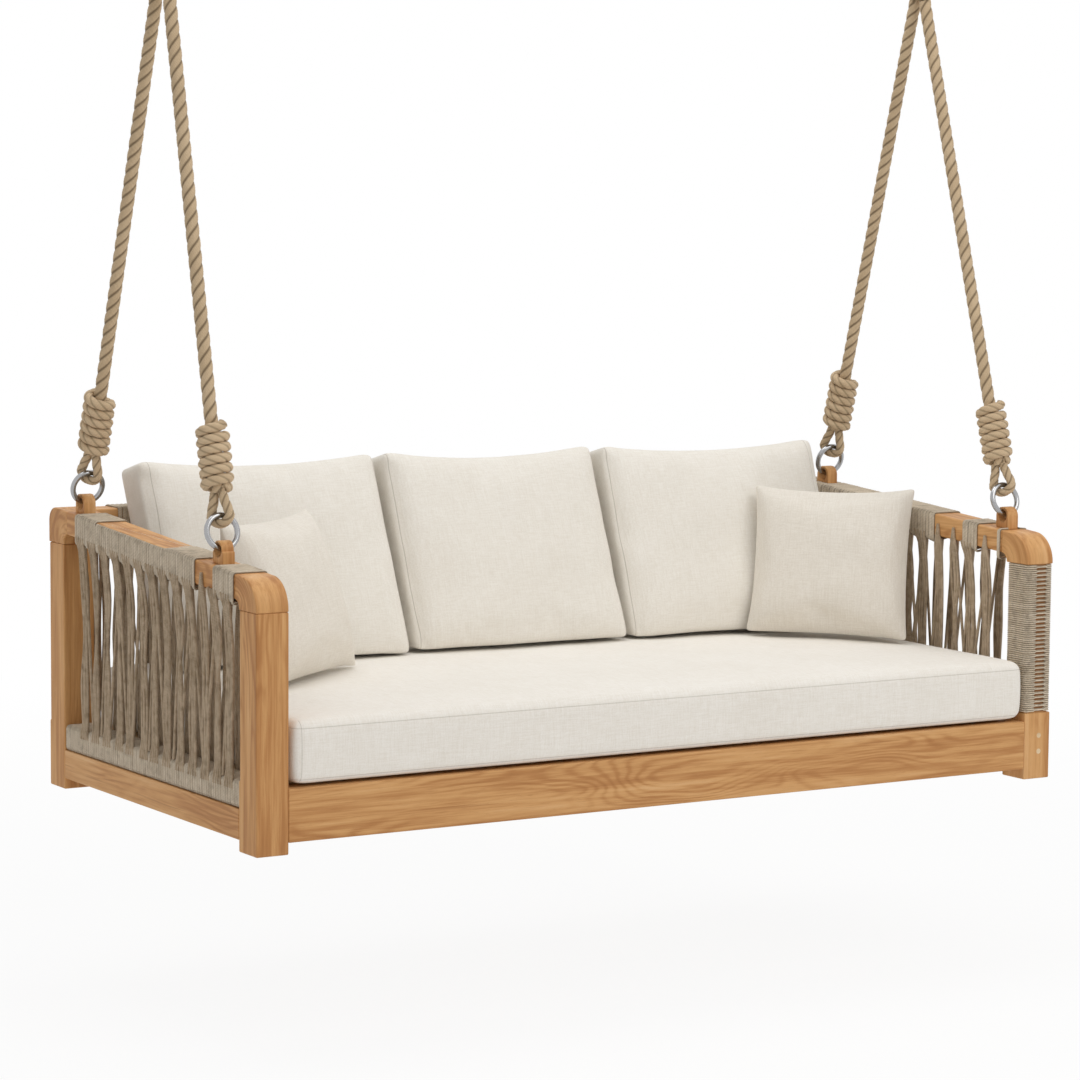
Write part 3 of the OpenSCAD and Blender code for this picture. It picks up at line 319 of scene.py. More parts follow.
def laid_rope(name, base, shade, length, lobes=3, yarns=190, depth=0.85):
    """Rope yarns: fine lines on a slant over each strand, by the rope's own map, with painted shade in the
    grooves.
    """
    paint = Paint(name)
    uv, place = paint.uv(), paint.coordinates()
    run, round_it = uv.part(0) * length, uv.part(1)
    lobe = (round_it * lobes).rest() - 0.5
    yarn = ((round_it * lobes * 5 + run * yarns) * 6.283).sine() * 0.5 + 0.5
    fine = paint.noise(paint.point(run * 700, round_it * 36, 0.0), 1.0, 3, 0.6)
    fuzz, worn = paint.noise(place, 800, 3, 0.6), paint.noise(place, 14, 2)
    groove = lobe.absolute().stretch(0.27, 0.5)
    tone = (yarn * 0.2 + fine * 0.3 + fuzz * 0.3 + worn * 0.3).stretch(0.2, 0.85)
    colour = paint.mix(tone, shade, base)
    # painted shade in the grooves between the rope's strands
    colour = paint.mix(groove * depth, colour, tuple(c * 0.38 for c in shade))
    normal = paint.bump(yarn * 0.6 + fuzz * 0.7 + fine * 0.4, 0.55, 0.0012)
    return paint.finish(colour, 0.9, normal, sheen=0.1, shine=0.2)


def linen(name, low=(0.80, 0.752, 0.672), high=(0.925, 0.895, 0.835), turn=0, seams=()):
    """Plain-woven linen: two sets of threads, slubs, and a slight change of tone. Its threads follow a
    cushion turned by so many degrees. A seam is (axis, place, highest y): a fine line there."""
    paint = Paint(name)
    place = paint.coordinates()
    x, y, z = (place.part(i) for i in range(3))
    if turn:
        c, s = math.cos(math.radians(turn)), math.sin(math.radians(turn))
        x, y = x * c + y * s, y * c - x * s
    up = z * 0.9 + y * 0.45
    warp = (x * 3900 + paint.noise(place, 40, 2) * 5).sine() * 0.5 + 0.5
    weft = (up * 3900 + paint.noise(place, 44, 2) * 5).sine() * 0.5 + 0.5
    slub_up = paint.noise(paint.point(x * 420, y * 30, z * 30), 1.0, 3, 0.6)
    slub_across = paint.noise(paint.point(x * 30, y * 420, z * 420), 1.0, 3, 0.6)
    flecks = paint.noise(place, 300, 3, 0.65)
    cloud = paint.noise(place, 7, 2)
    tone = (slub_up * 0.4 + slub_across * 0.4 + flecks * 0.35 + cloud * 0.15).stretch(0.4, 0.9)
    colour = paint.mix(tone, low, high)
    weave = warp * weft * 0.5 + slub_up * 0.35 + slub_across * 0.35 + flecks * 0.4
    for axis, at, limit in seams:
        line = (place.part(axis) - at).absolute().stretch(0.0004, 0.0013, 1.0, 0.0)
        if limit is not None:
            line = line * place.part(1).stretch(limit, limit + 0.002, 1.0, 0.0)
        colour = paint.mix(line * 0.42, colour, (0.40, 0.35, 0.29))
        weave = weave - line * 2.2
    return paint.finish(colour, 0.95, paint.bump(weave, 0.3, 0.0008), sheen=0.1, shine=0.2)


def polished_steel(name):
    paint = Paint(name)
    place = paint.coordinates()
    smears = paint.noise(place, 60, 3)
    lines = paint.noise(paint.point(place.part(0) * 300, place.part(1) * 300, place.part(2) * 1500), 1.0, 2)
    colour = paint.mix(smears, (0.33, 0.33, 0.335), (0.43, 0.43, 0.435))
    return paint.finish(colour, 0.17 + lines * 0.06, metallic=1.0)


def turned_brass(name):
    paint = Paint(name)
    lines = paint.noise(paint.coordinates(), 400, 2)
    colour = paint.mix(lines, (0.6, 0.42, 0.18), (0.74, 0.56, 0.27))
    return paint.finish(colour, 0.3 + lines * 0.15, metallic=1.0)


def pale_ground(name):
    """The floor shows white and keeps a faint shadow; further out it is plain white."""
    paint = Paint(name)
    place = paint.coordinates()
    tone = paint.noise(place, 0.8, 2)
    ground = paint.finish(paint.mix(tone, (0.90, 0.90, 0.90), (0.92, 0.92, 0.92)), 0.9)
    far = (place.part(0) * place.part(0) + place.part(1) * place.part(1)).root()
    share, end = far.stretch(1.5, 5.0, 0.9, 1.0), paint.tree.nodes["Material Output"].inputs[0]
    paint.white_to_sight("Emission", paint.skin.outputs[0], share, end)
    return ground


# ---- Making pieces ----


def add_piece(name, mesh, body, material, replaced):
    piece = placed(name, mesh)
    mesh.materials.clear()
    mesh.materials.append(material)
    for face in mesh.polygons:
        face.use_smooth = True
    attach(piece, body)
    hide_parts(replaced)
    return piece


def as_mesh(bm, name):
    mesh = bpy.data.meshes.new(name)
    bm.to_mesh(mesh)
    bm.free()
    return mesh


def made_mesh(carrier):
    carrier.data.update_tag()
    bpy.context.view_layer.update()
    return bpy.data.meshes.new_from_object(carrier.evaluated_get(bpy.context.evaluated_depsgraph_get()))


def lies_edgewise(mesh, lines, axis, width):
    """Whether the first cord stands on its edge, by its reach along the axis."""
    ring = len(mesh.vertices) * len(lines[0]) // sum(len(line) for line in lines)
    reach = [mesh.vertices[i].co[axis] for i in range(ring)]
    path = [p[axis] for p in lines[0]]
    return (max(reach) - min(reach)) - (max(path) - min(path)) < width * 0.75


def add_spline(data, points, closed):
    spline = data.splines.new("POLY")
    spline.points.add(len(points) - 1)
    spline.points.foreach_set("co", [c for p in points for c in (*p, 1)])
    spline.use_cyclic_u = closed
    return spline


def swept(name, lines, width, closed=False, sides=1, profile=None, twist=0.0, flat=None):
    """One mesh of cords that follow the lines. A line is a list of points; twist is in turns a metre.
    A flat outline gets its wide way along axis flat."""
    data = bpy.data.curves.new(name, "CURVE")
    data.dimensions = "3D"
    data.use_fill_caps = not closed
    if profile is None:
        data.bevel_depth, data.bevel_resolution = width / 2, sides
    else:
        data.bevel_mode, data.bevel_object = "OBJECT", profile
    for points in lines:
        spline = add_spline(data, points, closed)
        if twist:
            gone = accumulate(((b - a).length for a, b in zip(points, points[1:])), initial=0)
            spline.points.foreach_set("tilt", [far * twist * 2 * math.pi for far in gone])
    carrier = placed(name, data)
    mesh = made_mesh(carrier)
    if flat is not None and lies_edgewise(mesh, lines, flat, width):
        for spline in data.splines:
            spline.points.foreach_set("tilt", [math.pi / 2] * len(spline.points))
        bpy.data.meshes.remove(mesh)
        mesh = made_mesh(carrier)
    bpy.data.objects.remove(carrier)
    bpy.data.curves.remove(data)
    mesh.name = name
    return mesh


def cord_piece(name, lines, body, finish, node, width, slot="cord", **form):
    """A piece made of cords along the lines, with their width in millimetres, that stands for the node."""
    return add_piece(name, swept(name + "_mesh", lines, width / 1000, **form), body, finish, node)


def outline(name, points):
    data = bpy.data.curves.new(name, "CURVE")
    data.dimensions = "2D"
    add_spline(data, [(*p, 0) for p in points], True)
    return placed(name, data)


def strand_profile(name, width, groove=0.2):
    """The outline of three fat strands laid together, with its width in millimetres."""
    co = []
    for i in range(24):
        a = 2 * math.pi * i / 24
        t = abs((a % (2 * math.pi / 3)) - math.pi / 3) / (math.pi / 3)
        r = width / 2000 * (1 - groove * t**2.6)
        co.append((r * math.cos(a), r * math.sin(a)))
    return outline(name, co)


def flat_profile(name, width, thick):
    """The outline of a cord pressed flat against what it is wound round, in millimetres."""
    co = []
    for i in range(12):
        c, s = math.cos(math.pi * i / 6), math.sin(math.pi * i / 6)
        u, v = (math.copysign(abs(t) ** 0.8, t) for t in (c, s))
        co.append((width / 2000 * u, thick / 2000 * v))
    return outline(name, co)


def smooth_line(points, step):
    """The same route with a point every step, on a smooth curve through the points."""
    out = []
    last = len(points) - 1
    for i in range(last):
        p0, p1, p2, p3 = (points[min(max(i + k, 0), last)] for k in (-1, 0, 1, 2))
        n = max(1, round((p2 - p1).length / step))
        for k in range(n):
            t = k / n
            out.append(
                0.5 * ((2 * p1) + (p2 - p0) * t + (2 * p0 - 5 * p1 + 4 * p2 - p3) * t * t
                       + (3 * p1 - p0 - 3 * p2 + p3) * t**3)
            )
    out.append(points[-1])
    return out


def arched(bm, middle, top, half, radius):
    """Rounds the top of a lug off to an arch, in millimetres of the bed."""
    corner = bed(0, 0, 0)
    for y in (-8, 0, 8):
        geom = bm.verts[:] + bm.edges[:] + bm.faces[:]
        bmesh.ops.bisect_plane(bm, geom=geom, plane_co=bed(0, middle + y, top), plane_no=(0, 1, 0))
    for v in bm.verts:
        _, y, z = (v.co - corner) * 1000
        dy, dz = abs(y - middle) - (half - radius), z - top + radius
        far = math.hypot(dy, dz)
        if dy > 0 and dz > 0 and far > radius:
            cut = (1 - radius / far) / 1000
            v.co += Vector((0, math.copysign(dy * cut, middle - y), -dz * cut))


def softened(node, material, width=0.0025, shortest=0.0015, segments=3, arch=None):
    """A wooden piece with its long edges eased, made from a merged copy of the CAD solid."""
    name = "eased_" + node.removeprefix("corner_").removeprefix("side_")
    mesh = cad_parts[node].data.copy()
    bm = bmesh.new()
    bm.from_mesh(mesh)
    bmesh.ops.remove_doubles(bm, verts=bm.verts, dist=1e-5)
    bmesh.ops.dissolve_limit(bm, angle_limit=math.radians(0.4), verts=bm.verts, edges=bm.edges)
    if arch:
        arched(bm, *arch)
    chosen = [
        e for e in bm.edges
        if e.is_manifold and e.calc_face_angle_signed(0) > math.radians(24) and e.calc_length() > shortest
    ]
    bmesh.ops.bevel(
        bm, geom=chosen, offset=width, offset_type="OFFSET", segments=segments, profile=0.5,
        affect="EDGES", clamp_overlap=False, material=-1,
    )
    for e in bm.edges:
        e.smooth = e.is_manifold and e.calc_face_angle(0) < math.radians(34)
    bm.to_mesh(mesh)
    bm.free()
    piece = add_piece(name, mesh, "bed", material, node)
    piece.modifiers.new("even shading", "WEIGHTED_NORMAL").keep_sharp = True


def repaint(node, material):
    """A CAD node that stays as it is, with a better finish."""
    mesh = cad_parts[node].data
    mesh.materials.clear()
    mesh.materials.append(material)


# ---- Ropes, knots and rings ----


def meet_y(end):
    return HOOK_Y + (-PAIR if end == "front" else PAIR)


def rope_frame(side, end):
    """A rope's foot on its ring's wire, its direction and its length up to the lashing."""
    foot = Vector((LUG_Y[side, end], arm_z(LUG_Y[side, end]) + WIRE_UP[end]))
    run = Vector((meet_y(end), MEET_Z)) - foot
    return foot, run.normalized(), run.length


def half_route(side, end):
    """One half of a rope, from its knot to the top of the loop, as (y, z)."""
    foot, way, length = rope_frame(side, end)
    s = -1 if end == "front" else 1
    start = KNOT_GAP + 0.3
    loop_low = MEET_Z + LASH_TURNS * (LASH_D + 1) + 4
    centre = Vector((HOOK_Y, loop_low + LOOP_L - LOOP_R))
    route = [foot + way * (start + (length - 14 - start) * j / 6) for j in range(7)]
    # through the lashing and out into the loop, as (distance beyond the pair, height)
    for out, z in (
        (1.2, MEET_Z - 4), (0, MEET_Z + 8), (0, (MEET_Z + loop_low) / 2),
        (0.3, loop_low - 4), (3.5, loop_low + 14), (12, loop_low + 32),
    ):
        route.append(Vector((HOOK_Y + s * (PAIR + out), z)))
    for j in range(6):
        a = math.radians(90 + s * (-112 + 18.6 * j))
        route.append(centre + LOOP_R * Vector((math.cos(a), math.sin(a))))
    return route, centre + Vector((0, LOOP_R))


def rope_route(side):
    front, top = half_route(side, "front")
    back, _ = half_route(side, "back")
    x = across(side, LUG_X)
    return [bed(x, p[0], p[1]) for p in [*front, top, *reversed(back)]]


def knot_place(side, end):
    """Takes a point beside the rope (x across, y along the bed, z up the rope) to the model's frame."""
    foot, way, _ = rope_frame(side, end)
    x = across(side, LUG_X)

    def place(p):
        y = foot[0] + p[1] * way[1] + p[2] * way[0]
        z = foot[1] - p[1] * way[0] + p[2] * way[1]
        return bed(x + p[0], y, z)

    return place


def eye_route():
    """The eye round the ring, turned a little about the rope."""
    leg = TIGHT_D / 2 + 0.4
    eye = RING_WIRE / 2 + TIGHT_D / 2 + 1
    wide = eye + 4.5
    rise = KNOT_GAP - 6 - 2 * RING_R
    close = leg * eye / wide
    a0 = 90 + math.degrees(math.atan(close / rise) + math.acos(eye / math.hypot(close, rise)))
    flat = [(-leg, KNOT_GAP + 4), (-leg, KNOT_GAP - 6)]
    for j in range(9):
        a = math.radians(a0 + (540 - 2 * a0) * j / 8)
        flat.append((wide * math.cos(a), 2 * RING_R + eye * math.sin(a)))
    flat += [(leg, KNOT_GAP - 6), (leg, KNOT_GAP + 4)]
    turn = math.radians(EYE_TURN)
    return [Vector((-u * math.sin(turn), u * math.cos(turn), v)) for u, v in flat]


def knot_route(hand):
    """The winding round the rope, with its tail standing out at the top."""
    radius = ROPE_D / 2 + 0.5 + TIGHT_D / 2
    low = KNOT_GAP + KNOT_PITCH / 2 + 1
    n, points = 20, []
    total = int((KNOT_TURNS - 0.25) * n)
    for j in range(total + 1):
        a = 2 * math.pi * (j + 0.5) / n
        lift = KNOT_PITCH * j / n
        points.append(Vector((radius * math.cos(a), hand * radius * math.sin(a), low + lift)))
    out = (points[-1] - points[-2]).normalized()
    points += [points[-1] + out * 6 + Vector((0, 0, 2)), points[-1] + out * 11 + Vector((0, 0, 6))]
    # the first turn comes out from between the rope and the turns
    tucked = []
    for back, inward, up in ((3, 15, 8), (1.6, 8, 3)):
        a = 2 * math.pi * (0.5 - back) / n
        r = radius - inward
        tucked.append(Vector((r * math.cos(a), hand * r * math.sin(a), points[0][2] + up)))
    return tucked + points


def lashing_route(side):
    """The turns of thin cord round both halves of a rope under its loop."""
    x = across(side, LUG_X)
    lash = []
    radius = ROPE_D / 2 + LASH_D / 2 + 0.8
    for j in range(int((LASH_TURNS - 0.1) * 24) + 1):
        a = 2 * math.pi * (j + 1) / 24
        y = HOOK_Y + radius * math.sin(a) + (PAIR if math.sin(a) > 0 else -PAIR)
        lash.append(bed(x + radius * math.cos(a), y, MEET_Z + LASH_D / 2 + 1 + (LASH_D + 1) * j / 24))
    return lash


def make_ropes():
    wide = strand_profile("rope outline", ROPE_D + 0.8, 0.17)
    tight = strand_profile("tight rope outline", TIGHT_D + 1.6, 0.15)
    slim = strand_profile("eye outline", TIGHT_D + 0.6, 0.17)
    fine = strand_profile("lashing outline", LASH_D)
    manila, shade = (0.80, 0.625, 0.42), (0.45, 0.315, 0.18)
    rope_finish = laid_rope("manila_rope", manila, shade, 2.51)
    knot_finish = laid_rope("manila_knot", (0.82, 0.64, 0.43), shade, 1.0, yarns=120, depth=0.5)
    eye_finish = laid_rope("manila_eye", manila, shade, 0.14, depth=0.7)
    for side in SIDES:
        route = rope_route(side)
        line = smooth_line(route, 0.006)

        def laid(kind, lines, finish, node, width, profile, twist):
            name, body = f"laid_{kind}", f"{side}_ropes"
            return cord_piece(name, lines, body, finish, node, width, "rope", profile=profile, twist=twist)

        for end in ENDS:
            place, spot = knot_place(side, end), f"{side}_{end}"
            eye = smooth_line([place(p) for p in eye_route()], 0.004)
            laid(f"eye_{spot}", [eye], eye_finish, f"knot_{spot}", TIGHT_D, slim, 16)
            turns = smooth_line([place(p) for p in knot_route(1 if end == "front" else -1)], 0.005)
            laid(f"knot_{spot}", [turns], knot_finish, f"knot_{spot}", TIGHT_D, tight, 17)
        lash = smooth_line(lashing_route(side), 0.005)
        laid(f"lashing_{side}", [lash], knot_finish, f"top_lashing_{side}", LASH_D, fine, 30)
        rope = laid(f"rope_{side}", [line], rope_finish, f"rope_{side}", ROPE_D, wide, 11.9)
        length = sum((b - a).length for a, b in zip(line, line[1:]))
    for shape in (wide, tight, slim, fine):
        bpy.data.objects.remove(shape)


def make_rings(steel):
    ring_section = Matrix.Translation((0, 0, RING_R / 1000)) @ Matrix.Rotation(math.pi / 2, 4, "Y")
    for side in SIDES:
        x = across(side, LUG_X)
        spots = [(f"top_ring_{side}", bed(x, HOOK_Y, CEILING - TOP_RING_DROP), Vector((0, 1)))]
        for end in ENDS:
            foot, way, _ = rope_frame(side, end)
            spots.append((f"ring_{side}_{end}", bed(x, *(foot + way * RING_R)), way))
        for node, centre, way in spots:
            bm = bmesh.new()
            bmesh.ops.create_circle(bm, segments=20, radius=RING_WIRE / 2000, matrix=ring_section)
            bmesh.ops.spin(
                bm, geom=bm.verts[:] + bm.edges[:], cent=(0, 0, 0), axis=(0, 1, 0), angle=2 * math.pi,
                steps=72, use_merge=True,
            )
            bmesh.ops.remove_doubles(bm, verts=bm.verts, dist=1e-6)
            bmesh.ops.recalc_face_normals(bm, faces=bm.faces)
            lean = Matrix.Rotation(-math.atan2(way[0], way[1]), 4, "X")
            bmesh.ops.transform(bm, verts=bm.verts, matrix=Matrix.Translation(centre) @ lean)
            add_piece("steel_" + node, as_mesh(bm, node + "_mesh"), f"{side}_ropes", steel, node)


def make_metal():
    steel, brass = polished_steel("ring_steel"), turned_brass("bush_brass")
    make_rings(steel)
    for side in SIDES:
        repaint(f"ceiling_plate_{side}", steel)
        repaint(f"hanger_{side}", steel)
        repaint(f"pivot_bush_{side}", brass)
    for node in ("pivot_pins", "pivot_nuts", "lug_bolts"):
        repaint(node, steel)


# ---- Cord sides ----

CORD_W, PRESSED_W, PRESSED_T = 10.6, 10.3, 4.4
STRAND_PITCH, STRAND_W, STRAND_Y0 = 58, 24, BLOCK_L + 16
STRANDS, STRAND_CORDS, STRAND_CORD_D = 13, 4, 7.2
ARM_BANDS = {"left": [(96.5, 188), (272, 856)], "right": [(96.5, 112), (182, 236), (341, 903.5)]}
LUG_HALF, LUG_REACH = 15.5, 27.5
SCALLOP, SCALLOP_PEAK = 13.0, 0.86
WEDGE_FRONT, WEDGE_BACK, WEDGE_W, WEDGE_SINK = 410, 752, 54, 2.8
BACK_RAIL_D = 66
BACK_Y = BED_D - 6 - BACK_RAIL_D
BACK_TOP = arm_z(BED_D) - 6
WIND_LOW, WIND_TURNS, WIND_D, WIND_PINCH = 152, 70, 4.5, 2.2


def spaced(low, high, count=None):
    """The middles of turns that lie side by side from low to high."""
    count = count or round((high - low) / CORD_W)
    return [low + (j + 0.5) * (high - low) / count for j in range(count)]


def rounded_turn(low, high, radius, jitter):
    """Points of one turn of cord round a rail's section, from its two corners (u, v), each a little off."""
    points = []
    for a0, su, sv in ((0, 1, 1), (90, -1, 1), (180, -1, -1), (270, 1, -1)):
        u = (high if su > 0 else low)[0] - su * radius
        v = (high if sv > 0 else low)[1] - sv * radius
        for a in (0, 45, 90):
            t = math.radians(a0 + a)
            points.append((u + radius * math.cos(t), v + radius * math.sin(t)))
    return [(u + random.uniform(-jitter, jitter), v + random.uniform(-jitter, jitter)) for u, v in points]


def scallop(y):
    """How far the wraps hang below the rail: they sweep down into the strand in front of them."""
    p = ((y - STRAND_Y0 - STRAND_W / 2) / STRAND_PITCH) % 1
    if p > SCALLOP_PEAK:
        return SCALLOP * (p - SCALLOP_PEAK) / (1 - SCALLOP_PEAK)
    return SCALLOP * math.sqrt(max(0.0, 1 - (p / SCALLOP_PEAK) ** 2.6))


def arm_turns(side):
    """Turns round an arm rail, each with whether it is closed. On the left arm they leave a long bare
    wedge along the inner edge of the rail's top, and sink into the wood beside it."""
    turns = []
    for y in [y for band in ARM_BANDS[side] for y in spaced(*band)]:
        outer = side == "left"
        beside_wedge = outer and y < WEDGE_BACK
        sunk = WEDGE_SINK * min(1.0, max(0.0, (y - WEDGE_FRONT + 35) / 60)) if beside_wedge else 0.0
        top = arm_z(y) + 1.6 - sunk
        section = rounded_turn((-1.8, top - RAIL_H - 3.4), (POST_W + 1.8, top), 6, 0.2)
        drop = scallop(y if outer else y + STRAND_PITCH / 2)
        hangs = [v < top - RAIL_H / 2 and (u < POST_W / 2) == outer for u, v in section]
        section = [(u, v - drop * low) for (u, v), low in zip(section, hangs)]
        lean = random.uniform(-1.2, 1.2)
        line = [bed(across(side, u), y + lean * (u / POST_W - 0.5), v) for u, v in section]
        if any(abs(LUG_Y[side, end] - y) < LUG_REACH for end in ENDS):
            # the turn stops at both sides of the lug
            edges = [bed(across(side, LUG_X + d), y, top) for d in (-LUG_HALF, LUG_HALF)]
            turns.append(([edges[0], *line[4:], *line[:3], edges[1]], False))
        elif beside_wedge and y > WEDGE_FRONT:
            # the turn goes down beside the bare wedge and comes back up behind it
            bare = POST_W - 3 - WEDGE_W * ((y - WEDGE_FRONT) / (WEDGE_BACK - WEDGE_FRONT)) ** 0.75
            down = [bed(across(side, bare + 3), y, top - 5), bed(across(side, bare), y, top - 0.6)]
            rise = [bed(across(side, POST_W + 1.2), y, top - 9), bed(across(side, POST_W - 1.5), y, top - 6)]
            turns.append(([*down, *line[4:], line[0], *rise], False))
        else:
            turns.append((line, True))
    return turns


def rail_turns(side):
    """Turns round the lower side rail."""
    turns = []
    for y in spaced(FOOT_D + 1, BED_D - FOOT_D - 1):
        section = rounded_turn((6 - 1.8, CORD_LOW - 1.6), (POST_W - 6 + 1.8, CORD_TOP + 1.6), 6, 0.18)
        lean = random.uniform(-0.7, 0.7)
        turns.append([bed(across(side, u), y + lean * (u / POST_W - 0.5), v) for u, v in section])
    return turns


def back_turns():
    """Turns round the back's upper and lower rail."""
    turns = []
    for margin, low, high, y0, y1 in (
        (POST_W + 60, BACK_TOP - RAIL_H, BACK_TOP, BACK_Y, BACK_Y + BACK_RAIL_D),
        (POST_W + 1, CORD_LOW, CORD_TOP, BACK_Y + 3, BACK_Y + BACK_RAIL_D - 3),
    ):
        for x in spaced(margin, BED_L - margin):
            section = rounded_turn((y0 - 1.6, low - 1.6), (y1 + 1.6, high + 1.6), 6, 0.18)
            lean = random.uniform(-0.7, 0.7)
            turns.append([bed(x + lean * ((u - y0) / BACK_RAIL_D - 0.5), u, v) for u, v in section])
    return turns


def strand_line(points):
    return smooth_line([Vector(p) for p in points], 0.03)


def strand_cords(frame_of, top, foot, face_out, face_in, foot_out, wrapped, seed):
    """The cords of one strand. frame_of takes (sideways, outwards, up) to the model's frame."""
    rng = random.Random(seed)
    lines = []
    slant = rng.uniform(-6, 6)
    twist = rng.choice((-1, 1)) if rng.random() < 0.35 else 0
    for c in range(STRAND_CORDS):
        t = 2 * c / (STRAND_CORDS - 1) - 1
        side = t * 10.5
        wander = [rng.uniform(-1.6, 1.6) for _ in range(4)]
        depth = rng.uniform(-1.8, 1.8) + (1.5 if c % 2 else -0.5)
        if wrapped:
            start = [
                (t * 18 + 10, face_out, top + 5),
                (t * 14.4 + 8, face_out + 0.6, top - 6),
                (t * 11 + 3, face_out - 1.0, top - 24),
            ]
        else:
            start = [
                (t * 0.5, face_out, top + 31 - 4 * abs(t)),
                (t * 3.6, face_out + 0.8, top + 7),
                (side, face_out - 1.5, top - 20),
            ]
        turned, last = (-side, -t) if twist else (side, t)
        span = top - foot
        middle = [
            (side + wander[0] + slant * 0.3, face_in + depth, top - span * 0.26),
            ((side + turned) / 2 + wander[1] + slant * 0.6, face_in - depth, top - span * 0.5),
            (turned + wander[2] + slant * 0.9, face_in + depth, top - span * 0.74),
        ]
        end = [
            (last * 11 + slant, foot_out - 1.5, foot + 20),
            (last * 14 + slant, foot_out + 0.8, foot),
            (last * 17 + slant, foot_out + 0.4, foot - 16),
        ]
        lines.append(strand_line([frame_of(*p) for p in start + middle + end]))
    return lines


def stray_cord(frame_of, top, foot, face_in, reach, seed):
    """A single cord that slants from one strand to the next."""
    rng = random.Random(seed)
    a, b = rng.uniform(-6, 6), reach + rng.uniform(-6, 6)
    deep = face_in + rng.uniform(-2.5, 2.5)
    points = [(a + (b - a) * t, deep, top - 4 + (foot - top + 8) * t) for t in (0, 0.3, 0.6, 1)]
    return strand_line([frame_of(*p) for p in points])


def side_strands(side):
    """Strands of one arm side, outer row and inner row."""
    out = []
    for row, j in [(row, j) for row in (0, 1) for j in range(STRANDS - row)]:
        y = STRAND_Y0 + (j + row / 2) * STRAND_PITCH + STRAND_W / 2
        wrapped = any(a - 6 < y < b + 6 for a, b in ARM_BANDS[side])
        top, foot = arm_z(y) - RAIL_H, CORD_TOP

        def frame_of(s, o, u, y=y, row=row):
            return bed(across(side, POST_W + o if row else -o), y + s, u + SLOPE * s * (u > 400))

        seed = j * 7 + row * 101 + (0 if side == "left" else 1000)
        out += strand_cords(frame_of, top, foot, 2.0, -5.5, -4.0, wrapped, seed)
        if j < STRANDS - row - 1 and (j * 5) % 3 != 1:
            reach = STRAND_PITCH * (1 if (j + row) % 2 else 0.6)
            out.append(stray_cord(frame_of, top, foot, -5.5, reach, seed + 3))
        if j > 0 and (j + row) % 3 == 0:
            out.append(stray_cord(frame_of, top, foot, -5.5, -STRAND_PITCH * 0.8, seed + 5))
    return out


def back_strands():
    """Strands of the back, outer row and inner row."""
    out = []
    x0 = POST_W + 30
    count = int((BED_L - 2 * x0 - STRAND_W) // STRAND_PITCH) + 1
    top, foot = BACK_TOP - RAIL_H, CORD_TOP
    for row, j in [(row, j) for row in (0, 1) for j in range(count - row)]:
        x = x0 + (j + row / 2) * STRAND_PITCH + STRAND_W / 2
        wrapped = POST_W + 54 < x < BED_L - POST_W - 54

        def frame_of(s, o, u, x=x, row=row):
            return bed(x + s, BACK_Y - o if row else BACK_Y + BACK_RAIL_D + o, u)

        seed = j * 11 + row * 307 + 5000
        out += strand_cords(frame_of, top, foot, 1.7, -8.0, -1.5, wrapped, seed)
        if j < count - row - 1 and (j * 5 + row) % 3 == 1:
            out.append(stray_cord(frame_of, top, foot, -8.0, STRAND_PITCH, seed + 3))
    return out


def post_turns():
    """The cord round the right front post. Over the front face pairs of turns draw together."""
    turns = []
    x0, x1, y0, y1 = BED_L - POST_W + 1.9, BED_L - 1.9, 1.9, POST_D - 1.9
    middle = BED_L - 32
    for j, z in enumerate(spaced(WIND_LOW, SEAM_FRONT - 0.6, WIND_TURNS)):
        pinch, back = (-WIND_PINCH, 1.2) if j % 2 else (WIND_PINCH, 0.0)
        line = []
        for x, y, p in (
            (x0, y0 + 7, 0), (x0 + 2, y0 + 2, 0), (x0 + 7, y0, 0), (middle - 22, y0, 0),
            (middle - 15, y0, 0.1), (middle - 11.5, y0 - 0.2 + back, 1), (middle, y0 - 0.4 + back, 1),
            (middle + 12, y0 - 0.2 + back, 1), (middle + 16, y0, 0.1),
            (x1 - 2, y0 + 2, 0), (x1, y0 + 7, 0), (x1, (y0 + y1) / 2, 0),
            (x1, y1 - 7, 0), (x1 - 2, y1 - 2, 0), (x1 - 7, y1, 0), ((x0 + x1) / 2, y1, 0),
            (x0 + 7, y1, 0), (x0 + 2, y1 - 2, 0), (x0, y1 - 7, 0),
        ):
            line.append(bed(x, y, z + pinch * p + random.uniform(-0.15, 0.15)))
        turns.append(line)
    return turns


